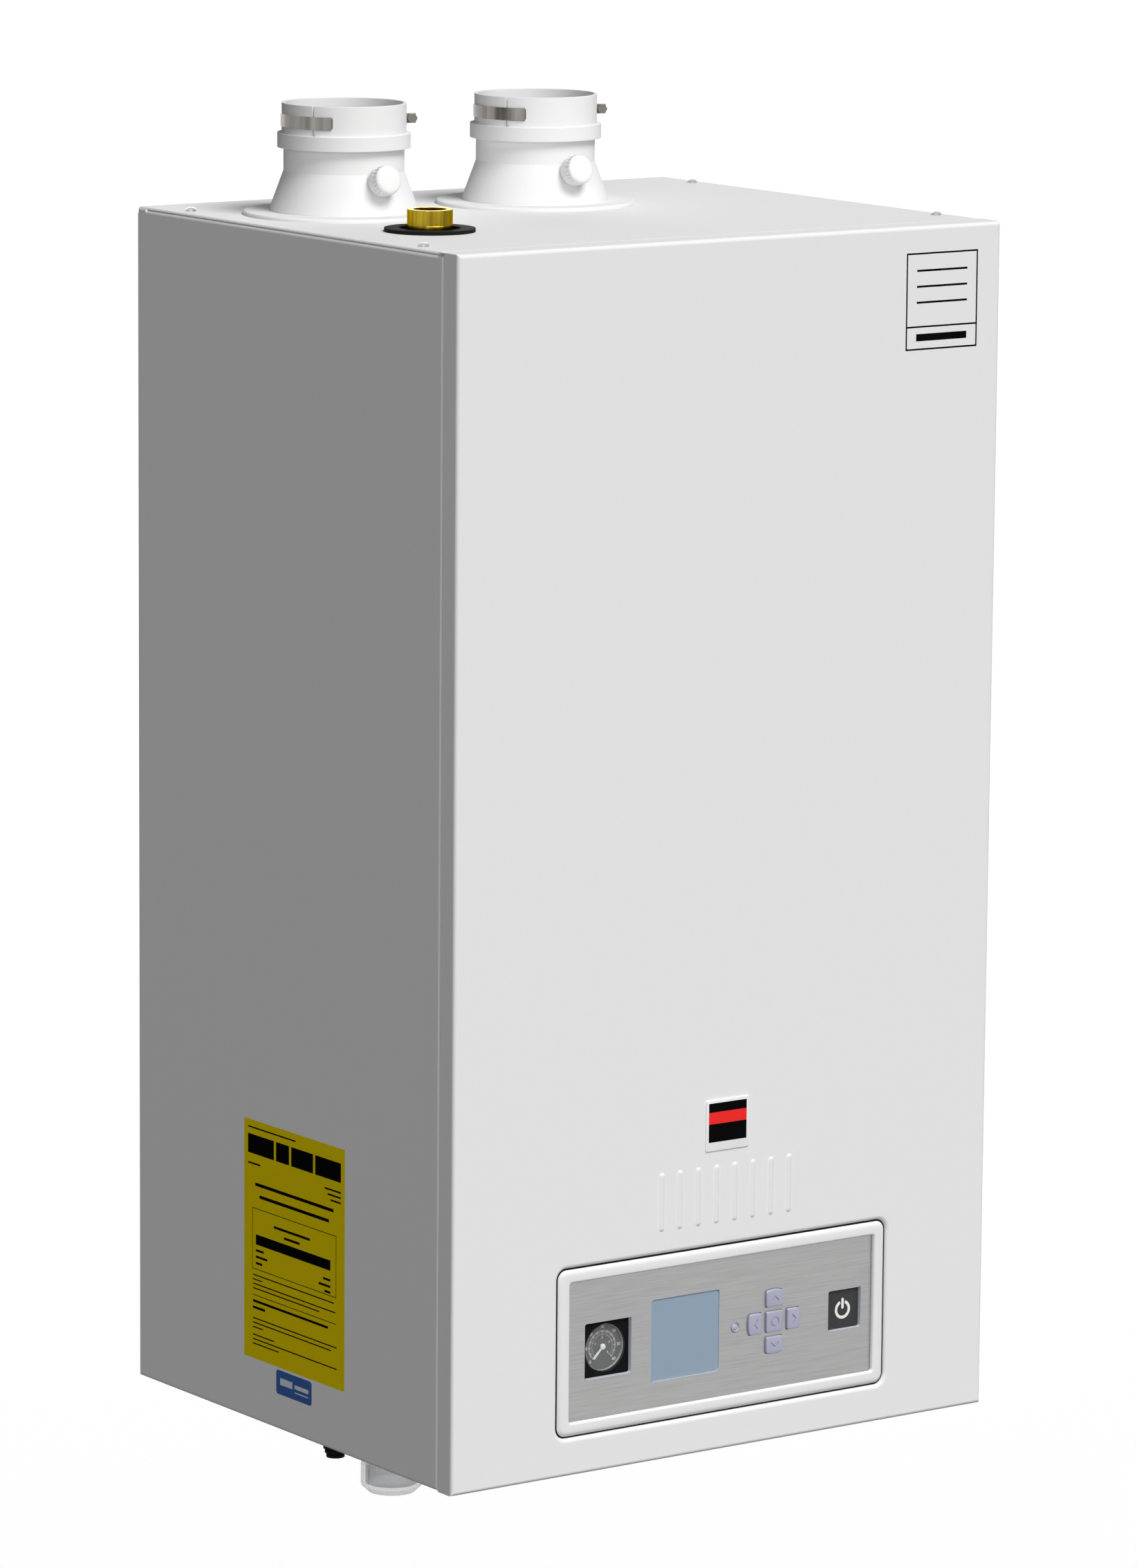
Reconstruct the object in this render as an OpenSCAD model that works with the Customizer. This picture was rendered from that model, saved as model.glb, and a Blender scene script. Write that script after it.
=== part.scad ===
// Wall-hung condensing gas boiler, taken apart into its separate pieces.
// +X runs to the right, +Y towards the wall and +Z up. The origin is the middle of the wall
// bracket's bolt line, on the wall. Inside the modules, places are measured from the casing's
// lower front left corner, and casing_frame() moves them to that origin.

/* [Casing] */
// Width across the side panels
casing_w = 498; // [490:1:540]
// Height from the bottom edge to the top cover
casing_h = 920; // [915:1:960]
// Depth from the wall to the front panel's face
casing_d = 434; // [434:1:470]
// Thickness of the casing's sheet steel
sheet_t = 1; // [0.8:0.1:1.2]
// Outside radius of the casing's folded edges
fold_r = 3; // [2.5:0.1:3.5]
// Width of the flanges turned inwards on the side panels
flange_w = 14; // [10:1:16]
// Depth of the front panel's side and bottom returns
door_d = 18; // [16:1:20]
// Depth of the front panel's top return
door_top_d = 24; // [22:1:28]
// Gap between neighbouring casing panels
panel_gap = 0.4; // [0.3:0.1:0.8]
// Height of the top cover's turned-down edge
cover_h = 2; // [2:0.1:3]
// How far the top cover stands in from the casing's sides
cover_inset = 1; // [0.5:0.1:2]
// Thickness of the chassis steel
chassis_t = 1.2; // [1:0.1:1.5]
// Depth of the back panel's folded edges
back_d = 9; // [8:0.5:10]
// Distance from the top cover's face down to the wall bracket's bolts
hang_drop = 60; // [50:1:80]
// Distance between the wall bracket's outer bolts
bolt_pitch = 240; // [200:1:260]
// Radius of the wall bracket's bolt holes
bolt_r = 4.5; // [4:0.1:5.5]
// Radius of the top cover's screw heads
screw_head_r = 4; // [3.5:0.1:4.5]

/* [Control module] */
// Width of the opening in the front panel, inside its rolled edge
cutout_w = 308; // [300:1:320]
// Height of the opening in the front panel, inside its rolled edge
cutout_h = 130; // [126:1:136]
// Height of the module's centre above the casing's bottom
module_z = 94; // [92:1:100]
// Outside radius of the rolled edges round the opening
roll_r = 3.5; // [2.5:0.1:3.8]
// Width of the plain border round the brushed plate
border = 10.8; // [9:0.1:12]
// How far the brushed plate lies behind the border's face
plate_recess = 3; // [2:0.1:4]
// Thickness of the brushed plate on its carrier
plate_t = 6; // [5:0.1:7]
// Side of the square gauge
gauge_side = 42.6; // [38:0.1:44]
// Radius of the gauge's dial
dial_r = 18; // [15:0.1:18.5]
// Width of the display
display_w = 63.5; // [56:0.1:66]
// Height of the display
display_h = 63; // [56:0.1:66]
// Distance between the centres of neighbouring keys
key_pitch = 18.4; // [18:0.1:19]
// Depth that a key moves when it is pressed
key_travel = 1.5; // [1:0.1:1.8]
// Side of the power key
power_side = 31; // [28:0.1:32]
// Clearance round a key, gauge or display in the plate
key_gap = 0.35; // [0.3:0.05:0.5]

/* [Flue adaptors] */
// Outside radius of the adaptor's base flange
flue_flange_r = 76.8; // [74:0.1:80]
// Thickness of the base flange
flue_flange_t = 3; // [2.5:0.1:4]
// Radius of the pipe that fits the collar
flue_pipe_r = 44.45; // [40:0.05:45]
// Clearance between the collar and the pipe
flue_fit = 0.35; // [0.2:0.05:0.5]
// Wall of the collar
collar_wall = 2.4; // [2:0.1:3]
// Height of the adaptor above the top cover
flue_h = 84.6; // [80:0.1:95]
// Distance from the left side to the intake adaptor's axis
intake_x = 101; // [99:1:105]
// Distance between the two adaptors' axes
flue_pitch = 177; // [175:1:182]
// Distance from the front to both adaptors' axes
flue_y = 300; // [298:1:302]
// Radius of the flue inside the casing
inner_flue_r = 42; // [41:0.1:42.5]

/* [Burner and exchanger] */
// Radius of the heat exchanger's drum
hx_r = 140; // [132:1:142]
// Length of the heat exchanger's drum
hx_len = 150; // [145:1:150]
// Distance from the left side to the drum's axis
hx_x = 318; // [316:1:322]
// Distance from the top cover's face down to the drum's axis
hx_drop = 280; // [270:1:284]
// Radius of the fan's scroll
fan_r = 58; // [54:1:60]
// Depth of the fan's housing
fan_w = 36; // [34:1:38]
// Radius of the fan's impeller
impeller_r = 48; // [42:1:50]
// Radius of the burner's tube
burner_r = 35; // [30:1:38]
// Radius of the expansion vessel
vessel_r = 190; // [170:1:200]

/* [Water and gas] */
// Outside radius of the heating and gas pipes
pipe_r = 11; // [10:0.1:11.5]
// Outside radius of the tap water pipes
tap_pipe_r = 7.5; // [6:0.1:8]
// Wall of the pipes
pipe_wall = 1; // [0.8:0.1:1.5]
// How far the pipe ends stand below the casing
stub_drop = 45; // [30:1:55]
// Radius of the pump's motor
pump_r = 42; // [36:1:44]
// Outside radius of the trap's clear cap
trap_cap_r = 23.3; // [22:0.1:24]

/* [Hidden] */
$fn = 64;
running = 0.08;
seat_gap = 0.3;
eps = 0.01;

// Casing heights and depths
hang_h = casing_h - hang_drop;
side_top = casing_h - cover_h;
inner_x = fold_r + panel_gap;
inner_w = casing_w - 2 * inner_x;
side_front = door_d + panel_gap;
cover_front = door_top_d + panel_gap;
back_y = casing_d - sheet_t;
chassis_y = back_y - back_d;
floor_z = sheet_t + chassis_t;
hx_z = casing_h - hx_drop;
hx_front = 100;
hx_back = hx_front + hx_len;
rail_y0 = hx_back - 22;
rail_d = 20;
rail_h = 20;

// Places in the control module
module_x = casing_w / 2;
fascia_gap = 0.6;
fascia_w = cutout_w - 2 * fascia_gap;
fascia_h = cutout_h - 2 * fascia_gap;
fascia_r = 8;
fascia_d = 20;
fascia_wall = 3;
plate_r = fascia_r - fascia_wall;
lip_d = 9;
plate_y = plate_recess;
plate_back = plate_y + plate_t;
row_z = module_z - 1.7;
gauge_x = module_x - 105.5;
display_x = module_x - 34;
lens_x = module_x + 12.8;
keys_x = module_x + 49;
power_x = module_x + 117;
lens_r = 3.8;
key_lip = 1;
stem_l = 0.8;
board_y = plate_back + key_lip + stem_l + key_travel + seat_gap;
board_t = 1.6;
key_face_y = 0.8;
key_w = 15.2;
key_h = 16.2;
slim_key_w = 12.4;
cap_key_h = 13.6;
key_curve_r = 26;
power_face_y = plate_y + 2.6;
power_t = 4.7;
power_travel = 3;
switch_gap = 2.7;
gauge_face_y = plate_y + 4;
dial_y = gauge_face_y + 4;
box_w = 330;
box_h = 146;
box_d = 65;
box_wall = 2;
box_y = fascia_d;

// Places on the top cover
exhaust_x = intake_x + flue_pitch;
spigot_r = inner_flue_r + seat_gap + 4;
spigot_drop = 40;
spigot_stop = 6;
collar_in_r = flue_pipe_r + flue_fit;
collar_out_r = collar_in_r + collar_wall;
neck_r = collar_out_r - 1.4;
ring_r = collar_out_r + 3.3;
foot_r = 56.6;
foot_z = 3.8;
neck_z = 33.3;
ring_z = 51;
ring_h = 11;
band_z = 67;
band_h = 9.6;
band_t = 0.8;
slit_angle = 207;
window_angle = 19;
lug_angle = 345;
test_tilt = 15;
test_cap_r = 11.5;
test_cap_len = 13.5;
test_port_r = 7.5;
test_y = -62.5;
test_z = 31.2;
relief_x = 81;
relief_y = 155;
relief_z = 16.6;
relief_drop = 20;
grommet_r = 34;
grommet_t = 2.8;

// Fan, burner and gas train
fan_x = intake_x;
fan_z = hx_z;
fan_y = 46;
duct_h = 44;
duct_z = fan_z + 16;
duct_wall = 2.5;
venturi_y = fan_y + fan_w;
venturi_len = 68;
venturi_r = 38;
gas_y = venturi_y + venturi_len / 2 - 1;
valve_z = fan_z - 185;
valve_h = 90;
nipple_r = 12;
nipple_top = fan_z - 50;
door_plate_y = hx_front - 18;
coil_r = 104;
motor_y = 12;
shaft_r = 4;
hose_r = 9;

// Flue and condensate
collector_z = hx_z - 140;
collector_h = 130;
flue_ledge = 92;
port_dz = -80;
trap_x = 50;
trap_y = 153;
trap_r = 19.7;
trap_bottom = -30;
trap_top = 112;
cap_bottom = -36.5;
cap_h = 21.5;
cable_x = 42;
cable_y = 218;
cable_r = 12;
cable_bore = 4;

// Water side
stub_y = 330;
flow_x = module_x - 120;
hot_x = module_x - 60;
cold_x = module_x + 60;
return_x = module_x + 120;
block_z = 60;
// Each pipe's free end is drawn down a little, over the length that a union takes
pin_len = stub_drop - sheet_t;
swage = 0.5;
block_h = 62;
block_w = 100;
block_d = 50;
pump_x = 430;
pump_y = 214;
pump_z = 160;
pump_body_r = 48;
pump_front = 105;
port_r = 16;
supply_x = hx_x - 88;
supply_y = 140;
vent_x = hx_x + 72;
pipe_bend = 18;
vessel_d = 78;

// Moves casing places, measured from the lower front left corner, to the part's origin
module casing_frame() translate([-casing_w / 2, -casing_d, -hang_h]) children();

// Draws a face pattern: X across, the child's Y upwards, and its Z as depth behind the face
module facing() mirror([0, 1, -1]) children();

// A round bar along +Y from a point
module along_y(x, y, z, len, r) translate([x, y, z]) rotate([-90, 0, 0]) cylinder(h = len, r = r);

// Outline of a block seen from its side: depth along X, and round corners on the face at X = 0
module edge_profile(depth, width, r) {
    translate([r, 0]) square([depth - r, width]);
    translate([0, r]) square([depth, width - 2 * r]);
    intersection() {
        for (y = [r, width - r]) translate([r, y]) circle(r);
        square([r, width]);
    }
}

// A block whose four front edges are round; its face is the XZ plane
module soft_block(w, h, d, r) intersection() {
    rotate([90, 0, 90]) linear_extrude(w) edge_profile(d, h, r);
    mirror([1, -1, 0]) linear_extrude(h) edge_profile(d, w, r);
}

// A folded sheet tray, open towards +Y
module tray(w, h, d, r, t) difference() {
    soft_block(w, h, d, r);
    translate([t, t, t]) soft_block(w - 2 * t, h - 2 * t, d, r - t);
}

// A rectangle with round corners, centred
module round_rect(w, h, r) {
    square([w - 2 * r, h], center = true);
    square([w, h - 2 * r], center = true);
    for (x = [-1, 1], y = [-1, 1]) translate([x * (w / 2 - r), y * (h / 2 - r)]) circle(r);
}

// Sweeps a profile round a rectangle with round corners; the profile's X is the distance from the corner's centre
module ring_sweep(w, h, r) {
    for (k = [0 : 3]) {
        across = k % 2 == 0 ? w : h;
        along = k % 2 == 0 ? h : w;
        rotate([0, 0, 90 * k]) {
            translate([across / 2 - r, along / 2 - r, 0]) {
                rotate([90, 0, 0]) linear_extrude(along - 2 * r) children();
                rotate_extrude(angle = 90) children();
            }
        }
    }
}

function unit(v) = v / norm(v);
function side_of(u) = unit(cross(u, abs(u.z) > 0.9 ? [1, 0, 0] : [0, 0, 1]));
function tangent_len(pts, i, bend) = i == 0 || i == len(pts) - 1 ? 0
    : bend * tan(acos(unit(pts[i] - pts[i - 1]) * unit(pts[i + 1] - pts[i])) / 2);

// Turns and moves children so that their axes are a, b and c, at p
module axes_at(a, b, c, p)
    multmatrix([[a.x, b.x, c.x, p.x], [a.y, b.y, c.y, p.y], [a.z, b.z, c.z, p.z], [0, 0, 0, 1]]) children();

// A pipe through points, with each corner bent to a radius
module bent_pipe(pts, r, bend) {
    for (i = [0 : len(pts) - 2]) {
        u = unit(pts[i + 1] - pts[i]);
        start = tangent_len(pts, i, bend);
        run = norm(pts[i + 1] - pts[i]) - start - tangent_len(pts, i + 1, bend);
        axes_at(side_of(u), cross(u, side_of(u)), u, pts[i] + u * start) cylinder(h = run, r = r);
    }
    for (i = [1 : len(pts) - 2]) {
        u = unit(pts[i] - pts[i - 1]);
        v = unit(pts[i + 1] - pts[i]);
        n = unit(v - u * (u * v));
        centre = pts[i] - u * tangent_len(pts, i, bend) + n * bend;
        axes_at(-n, u, cross(-n, u), centre)
            rotate_extrude(angle = acos(u * v)) translate([bend, 0]) circle(r);
    }
}

// The same pipe with a bore
module hollow_pipe(pts, r, wall, bend) difference() {
    bent_pipe(pts, r, bend);
    bent_pipe(pts, r - wall, bend);
}

// Front panel: one folded sheet with a rolled opening and a row of raised ribs
rib_n = 8;
rib_pitch = 17;
rib_len = 40;
rib_r = 4;
rib_rise = 1;
rib_z = 199;

module rolled_lip() translate([fascia_r + fascia_gap, 0]) {
    intersection() {
        translate([roll_r, roll_r]) difference() {
            circle(roll_r);
            circle(roll_r - sheet_t);
        }
        square([roll_r, roll_r]);
    }
    translate([0, roll_r]) square([sheet_t, lip_d - roll_r]);
}

module rib(x) {
    translate([x, rib_r - rib_rise, rib_z - rib_len / 2]) cylinder(h = rib_len, r = rib_r);
    for (z = [-1, 1]) translate([x, rib_r - rib_rise, rib_z + z * rib_len / 2]) sphere(rib_r);
}

module front_panel() color("gainsboro") casing_frame() {
    face_r = fascia_r + fascia_gap + roll_r;
    difference() {
        tray(casing_w, casing_h, door_top_d, fold_r, sheet_t);
        translate([-1, door_d, -1]) cube([casing_w + 2, door_top_d, casing_h + 1 - sheet_t]);
        translate([module_x, -1, module_z]) facing() linear_extrude(sheet_t + 2)
            round_rect(cutout_w + 2 * roll_r, cutout_h + 2 * roll_r, face_r);
    }
    translate([module_x, 0, module_z]) facing()
        ring_sweep(cutout_w + 2 * roll_r, cutout_h + 2 * roll_r, face_r) rolled_lip();
    difference() {
        for (i = [0 : rib_n - 1]) rib(module_x + (i - (rib_n - 1) / 2) * rib_pitch);
        translate([0, sheet_t, 0]) cube([casing_w, 3 * rib_r, casing_h]);
    }
}

// Side panels: folded on all four edges, with a plain upper rear corner
corner_notch = 13;

module side_panel() {
    length = casing_d - side_front;
    height = side_top;
    difference() {
        translate([0, casing_d, 0]) rotate([0, 0, -90]) tray(length, height, flange_w, fold_r, sheet_t);
        translate([-1, casing_d - corner_notch, height - fold_r])
            cube([flange_w + 2, corner_notch + 1, fold_r + 1]);
    }
    translate([0, casing_d - corner_notch, height - fold_r])
        cube([sheet_t, corner_notch - fold_r, fold_r]);
}

module side_panel_left() color("gainsboro") casing_frame() side_panel();
module side_panel_right() color("gainsboro") casing_frame()
    translate([casing_w, 0, 0]) mirror([1, 0, 0]) side_panel();

// Top cover: a shallow tray face up, with holes for the flues, the relief fitting and screws
screw_x = 13;
screw_front = 63;
screw_back = 377;
screw_places = [[screw_x, screw_front], [casing_w - screw_x, screw_front],
    [screw_x, screw_back], [casing_w - screw_x, screw_back]];
screw_shank_r = 2;
cover_len = back_y - cover_inset - cover_front;
grommet_hole_r = 24;

module top_cover() color("gainsboro") casing_frame() difference() {
    translate([cover_inset, cover_front, casing_h]) rotate([-90, 0, 0])
        tray(casing_w - 2 * cover_inset, cover_len, cover_h, cover_h - eps, sheet_t);
    for (x = [intake_x, exhaust_x]) translate([x, flue_y, side_top - 1]) cylinder(h = 4, r = spigot_r + seat_gap);
    translate([relief_x, relief_y, side_top - 1]) cylinder(h = 4, r = grommet_hole_r);
    for (p = screw_places) translate([p.x, p.y, side_top - 1]) cylinder(h = 4, r = screw_shank_r + 0.2);
}

module cover_screws() color("silver") casing_frame() for (p = screw_places) translate([p.x, p.y, casing_h]) {
    cylinder(h = 1.4, r = screw_head_r);
    translate([0, 0, 1.4]) intersection() {
        translate([0, 0, 1.8 - 2.9 * screw_head_r / 2]) sphere(2.9 * screw_head_r / 2);
        cylinder(h = 2, r = screw_head_r);
    }
    translate([0, 0, -cover_h + sheet_t / 2]) cylinder(h = cover_h - sheet_t / 2, r = screw_shank_r);
}

// Bottom panel on the side panels' lower flanges
bottom_in = 4;
tap_places = [hot_x, cold_x];
heat_places = [flow_x, return_x];

module bottom_panel() color("lightgray") casing_frame() difference() {
    translate([inner_x, side_front + bottom_in, sheet_t])
        cube([inner_w, chassis_y - side_front - bottom_in - panel_gap, chassis_t]);
    for (x = concat(heat_places, [module_x])) translate([x, stub_y, 0])
        cylinder(h = 5, r = pipe_r + swage + seat_gap);
    for (x = tap_places) translate([x, stub_y, 0]) cylinder(h = 5, r = tap_pipe_r + swage + seat_gap);
    translate([trap_x, trap_y, 0]) cylinder(h = 5, r = trap_r + seat_gap);
    translate([cable_x, cable_y, 0]) cylinder(h = 5, r = cable_r + seat_gap);
}

// Back panel: a tray face forward, with its returns against the side panels' rear flanges
tongue_w = 30;
tongue_x = 70;
tongue_t = 3;
tongue_z = hang_h + 14;
tongue_front = chassis_y - 6;
slot_w = tongue_w + 2;
slot_h = tongue_t + 1;
bracket_w = bolt_pitch + 60;
bracket_h = 44;
bracket_t = 2;

module back_panel() color("silver") casing_frame() difference() {
    translate([inner_x, chassis_y, sheet_t + panel_gap])
        tray(inner_w, side_top - 2 * (sheet_t + panel_gap), back_d, fold_r, chassis_t);
    for (s = [-1, 1])
        translate([module_x + s * tongue_x - slot_w / 2, chassis_y - 1, tongue_z + tongue_t - slot_h])
            cube([slot_w, chassis_t + 2, slot_h]);
}

// Wall bracket: a bolted strip whose two upturned tongues carry the back panel
module wall_bracket() color("dimgray") casing_frame() {
    difference() {
        translate([module_x - bracket_w / 2, casing_d - bracket_t, hang_h - bracket_h / 2])
            cube([bracket_w, bracket_t, bracket_h]);
        for (s = [-1, 1])
            along_y(module_x + s * bolt_pitch / 2, casing_d - bracket_t - 1, hang_h, bracket_t + 2, bolt_r);
    }
    for (s = [-1, 1]) translate([module_x + s * tongue_x - tongue_w / 2, tongue_front, tongue_z]) {
        cube([tongue_w, casing_d - bracket_t - tongue_front, tongue_t]);
        cube([tongue_w, tongue_t, 3 * tongue_t]);
    }
}

// Cross rails: two channels between the side panels that hold the heat exchanger
foot_h = 10;
rail_low = hx_z - hx_r - foot_h - rail_h;
rail_high = hx_z + hx_r + foot_h;

module cross_rails() color("silver") casing_frame() for (z = [rail_low, rail_high]) difference() {
    translate([sheet_t, rail_y0, z]) cube([casing_w - 2 * sheet_t, rail_d, rail_h]);
    translate([0, rail_y0 + chassis_t, z + chassis_t]) cube([casing_w, rail_d, rail_h - 2 * chassis_t]);
}

// Control fascia: a plain border with a rolled outer edge, in the front panel's opening
plate_w = fascia_w - 2 * (roll_r + seat_gap);
plate_h = fascia_h - 2 * (roll_r + seat_gap);

module fascia_rim() {
    intersection() {
        translate([fascia_r - roll_r, roll_r]) circle(roll_r);
        translate([fascia_r - roll_r, 0]) square([roll_r, roll_r]);
    }
    translate([fascia_r - fascia_wall, roll_r]) square([fascia_wall, fascia_d - roll_r]);
}

module control_fascia() color("whitesmoke") casing_frame() translate([module_x, 0, module_z]) facing() {
    ring_sweep(fascia_w, fascia_h, fascia_r) fascia_rim();
    linear_extrude(plate_recess) difference() {
        round_rect(fascia_w - 2 * roll_r, fascia_h - 2 * roll_r, fascia_r - roll_r);
        round_rect(fascia_w - 2 * border, fascia_h - 2 * border, 2);
    }
}

// Outlines of the keys, each with room g round it; k counts quarter turns from the upper key
module arrow_outline(k, g) {
    long = k % 2 == 0 ? key_w : key_h;
    short = k % 2 == 0 ? cap_key_h : slim_key_w;
    rotate([0, 0, 90 * k]) translate([0, key_pitch]) intersection() {
        square([long + 2 * g, short + 2 * g], center = true);
        translate([0, short / 2 - key_curve_r]) circle(key_curve_r + g);
    }
}

module ok_outline(g) round_rect(key_w + 2 * g, key_h + 2 * g, 1);
module power_outline(g) round_rect(power_side + 2 * g, power_side + 2 * g, 1.5);
module gauge_outline(g) round_rect(gauge_side + 2 * g, gauge_side + 2 * g, 1.5);
module display_outline(g) round_rect(display_w + 2 * g, display_h + 2 * g, 2.5);

// Draws children at a place on the module's row of controls
module at_row(x) translate([x, 0, row_z]) facing() children();

// Extrudes an outline from one depth behind the front face to another
module behind(y0, y1) translate([0, 0, y0]) linear_extrude(y1 - y0) children();

// Brushed plate, with openings for the controls and posts for the display board
board_margin = 6.25;
board_side = 45;
board_x0 = display_x - display_w / 2 - board_margin;
board_x1 = keys_x + board_side;
board_h = 84;
post_in = 4;
post_r = 3;
pillar_l = 12;
pillar_r = 4;
pillar_in = 8;
main_w = 270;
main_h = 116;
main_y = box_y + box_d - box_wall - pillar_l - board_t;
switch_y = power_face_y + power_t + power_travel + switch_gap;
switch_w = 20;
transformer = [44, 30, 38];
relay = [18, 16, 28];
relay_n = 4;
relay_pitch = 26;
capacitor_r = 8;
capacitor_l = 24;
capacitor_n = 3;

module control_plate() color("darkgray") casing_frame() {
    difference() {
        translate([module_x, 0, module_z]) facing() behind(plate_y, plate_back)
            round_rect(plate_w, plate_h, plate_r);
        at_row(gauge_x) behind(0, board_y) gauge_outline(key_gap);
        at_row(display_x) behind(0, board_y) display_outline(key_gap);
        at_row(lens_x) behind(0, board_y) circle(lens_r + key_gap);
        at_row(power_x) behind(0, board_y) power_outline(key_gap);
        at_row(keys_x) behind(0, board_y) ok_outline(key_gap);
        for (k = [0 : 3]) at_row(keys_x) behind(0, board_y) arrow_outline(k, key_gap);
    }
    for (x = [board_x0 + post_in, board_x1 - post_in], s = [-1, 1])
        along_y(x, plate_back, row_z + s * (board_h / 2 - post_in), board_y - plate_back, post_r);
}

// Circuit boards: one behind the display and keys, and the main board on the box's pillars
module control_boards() color("darkgreen") casing_frame() {
    translate([board_x0, board_y, row_z - board_h / 2]) cube([board_x1 - board_x0, board_t, board_h]);
    translate([module_x - main_w / 2, main_y, module_z - main_h / 2]) cube([main_w, board_t, main_h]);
    translate([power_x - switch_w / 2, switch_y, row_z - switch_w / 2])
        cube([switch_w, main_y - switch_y, switch_w]);
    translate([module_x - main_w / 2 + 15, main_y - transformer.y, module_z - main_h / 2 + 13]) cube(transformer);
    for (i = [0 : relay_n - 1])
        translate([module_x - 50 + i * relay_pitch, main_y - relay.y, module_z - main_h / 2 + 8]) cube(relay);
    for (i = [0 : capacitor_n - 1]) along_y(module_x - 100 + i * capacitor_l, main_y - capacitor_l, module_z + 30,
        capacitor_l, capacitor_r);
}

module control_box() color("dimgray") casing_frame() {
    difference() {
        translate([module_x - box_w / 2, box_y, module_z - box_h / 2]) cube([box_w, box_d, box_h]);
        translate([module_x - box_w / 2 + box_wall, box_y + box_wall, module_z - box_h / 2 + box_wall])
            cube([box_w - 2 * box_wall, box_d - 2 * box_wall, box_h - 2 * box_wall]);
        translate([module_x, box_y - 1, module_z]) facing() linear_extrude(box_wall + 2)
            round_rect(fascia_w - 2 * fascia_wall, fascia_h - 2 * fascia_wall, fascia_r - fascia_wall);
    }
    for (x = [-1, 1], z = [-1, 1])
        along_y(module_x + x * (main_w / 2 - pillar_in), main_y + board_t, module_z + z * (main_h / 2 - pillar_in),
            pillar_l, pillar_r);
    for (x = [sheet_t, module_x + box_w / 2]) translate([x, box_y + 25, module_z - box_h / 2 + 9])
        cube([module_x - box_w / 2 - sheet_t, 15, 12]);
}

module display_module() color("lightsteelblue") casing_frame()
    at_row(display_x) behind(plate_y + 1, board_y) display_outline(0);

module indicator_lens() color("whitesmoke") casing_frame() {
    at_row(lens_x) behind(plate_y, board_y) circle(lens_r);
    intersection() {
        translate([lens_x, plate_y + 4, row_z]) sphere(5);
        along_y(lens_x, plate_y - 3, row_z, 3, lens_r);
    }
}

// Keys: a cap through the plate, a lip behind it and a short stem
stem_r = 2.5;

module key_solid(x) {
    at_row(keys_x) {
        behind(key_face_y, plate_back) children(0);
        behind(plate_back, plate_back + key_lip) children(1);
    }
    at_row(keys_x) translate([x.x, x.y]) behind(plate_back + key_lip, plate_back + key_lip + stem_l) circle(stem_r);
}

module arrow_key(k) color("lightsteelblue") casing_frame()
    key_solid([-sin(90 * k), cos(90 * k)] * key_pitch) {
        arrow_outline(k, 0);
        arrow_outline(k, key_lip);
    }

module key_up() arrow_key(0);
module key_left() arrow_key(1);
module key_down() arrow_key(2);
module key_right() arrow_key(3);
module key_ok() color("lightsteelblue") casing_frame() key_solid([0, 0]) {
    ok_outline(0);
    ok_outline(key_lip);
}

module power_key() color("dimgray") casing_frame() at_row(power_x) {
    behind(power_face_y, plate_back) power_outline(0);
    behind(plate_back, power_face_y + power_t) power_outline(key_lip);
}

// Pressure gauge: a square case with a round dial behind a glass
glass_t = 1.2;
glass_rim = 0.8;
glass_y = gauge_face_y + 0.4;
needle_y = glass_y + glass_t + 0.5;
needle_l = 14;
needle_angle = 225;

module gauge_case() color("black") casing_frame() difference() {
    union() {
        at_row(gauge_x) behind(gauge_face_y, plate_back) gauge_outline(0);
        at_row(gauge_x) behind(plate_back, dial_y + 1) gauge_outline(3);
        along_y(gauge_x, dial_y + 1, row_z, 18, dial_r + 2);
        along_y(gauge_x, dial_y + 19, row_z, 6, 4);
    }
    along_y(gauge_x, gauge_face_y - 1, row_z, glass_y + glass_t - gauge_face_y + 1, dial_r + glass_rim + running);
    along_y(gauge_x, gauge_face_y, row_z, dial_y - gauge_face_y, dial_r);
}

module gauge_needle() color("white") casing_frame() {
    at_row(gauge_x) behind(needle_y, needle_y + 0.8) rotate([0, 0, needle_angle])
        polygon([[-4, -0.9], [needle_l, -0.35], [needle_l, 0.35], [-4, 0.9]]);
    along_y(gauge_x, needle_y - 0.2, row_z, dial_y - needle_y + 0.2, 2);
}

module gauge_glass() color("lightcyan") casing_frame()
    along_y(gauge_x, glass_y, row_z, glass_t, dial_r + glass_rim);

// Flue adaptors: a flange on the cover, a flared neck, a slit collar above and a socket below
edge_r = 2;
socket_r = inner_flue_r + seat_gap;
throat_r = inner_flue_r - 2;
slit_w = 1.5;
test_in = 22;
test_bore = 3.5;
cap_grip = 8;

module adaptor_profile() difference() {
    union() {
        translate([0, -spigot_drop]) square([spigot_r, spigot_drop]);
        square([flue_flange_r - edge_r, flue_flange_t]);
        square([flue_flange_r, flue_flange_t - edge_r]);
        intersection() {
            translate([flue_flange_r - edge_r, flue_flange_t - edge_r]) circle(edge_r);
            square([flue_flange_r, flue_flange_t]);
        }
        polygon([[0, 0], [foot_r, 0], [foot_r, foot_z], [neck_r, neck_z], [neck_r, ring_z], [0, ring_z]]);
        translate([0, ring_z]) square([ring_r, ring_h]);
        translate([0, ring_z]) square([collar_out_r, flue_h - ring_z]);
    }
    translate([0, ring_z]) square([collar_in_r, flue_h]);
    translate([0, -spigot_stop]) square([throat_r, spigot_stop + ring_z]);
    translate([0, -spigot_drop]) square([socket_r, spigot_drop - spigot_stop]);
}

// Moves children to an adaptor's test port, with Z along the port and 0 at its cap's face
module test_port_frame() translate([0, test_y, test_z]) rotate([90 - test_tilt, 0, 0]) children();

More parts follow.
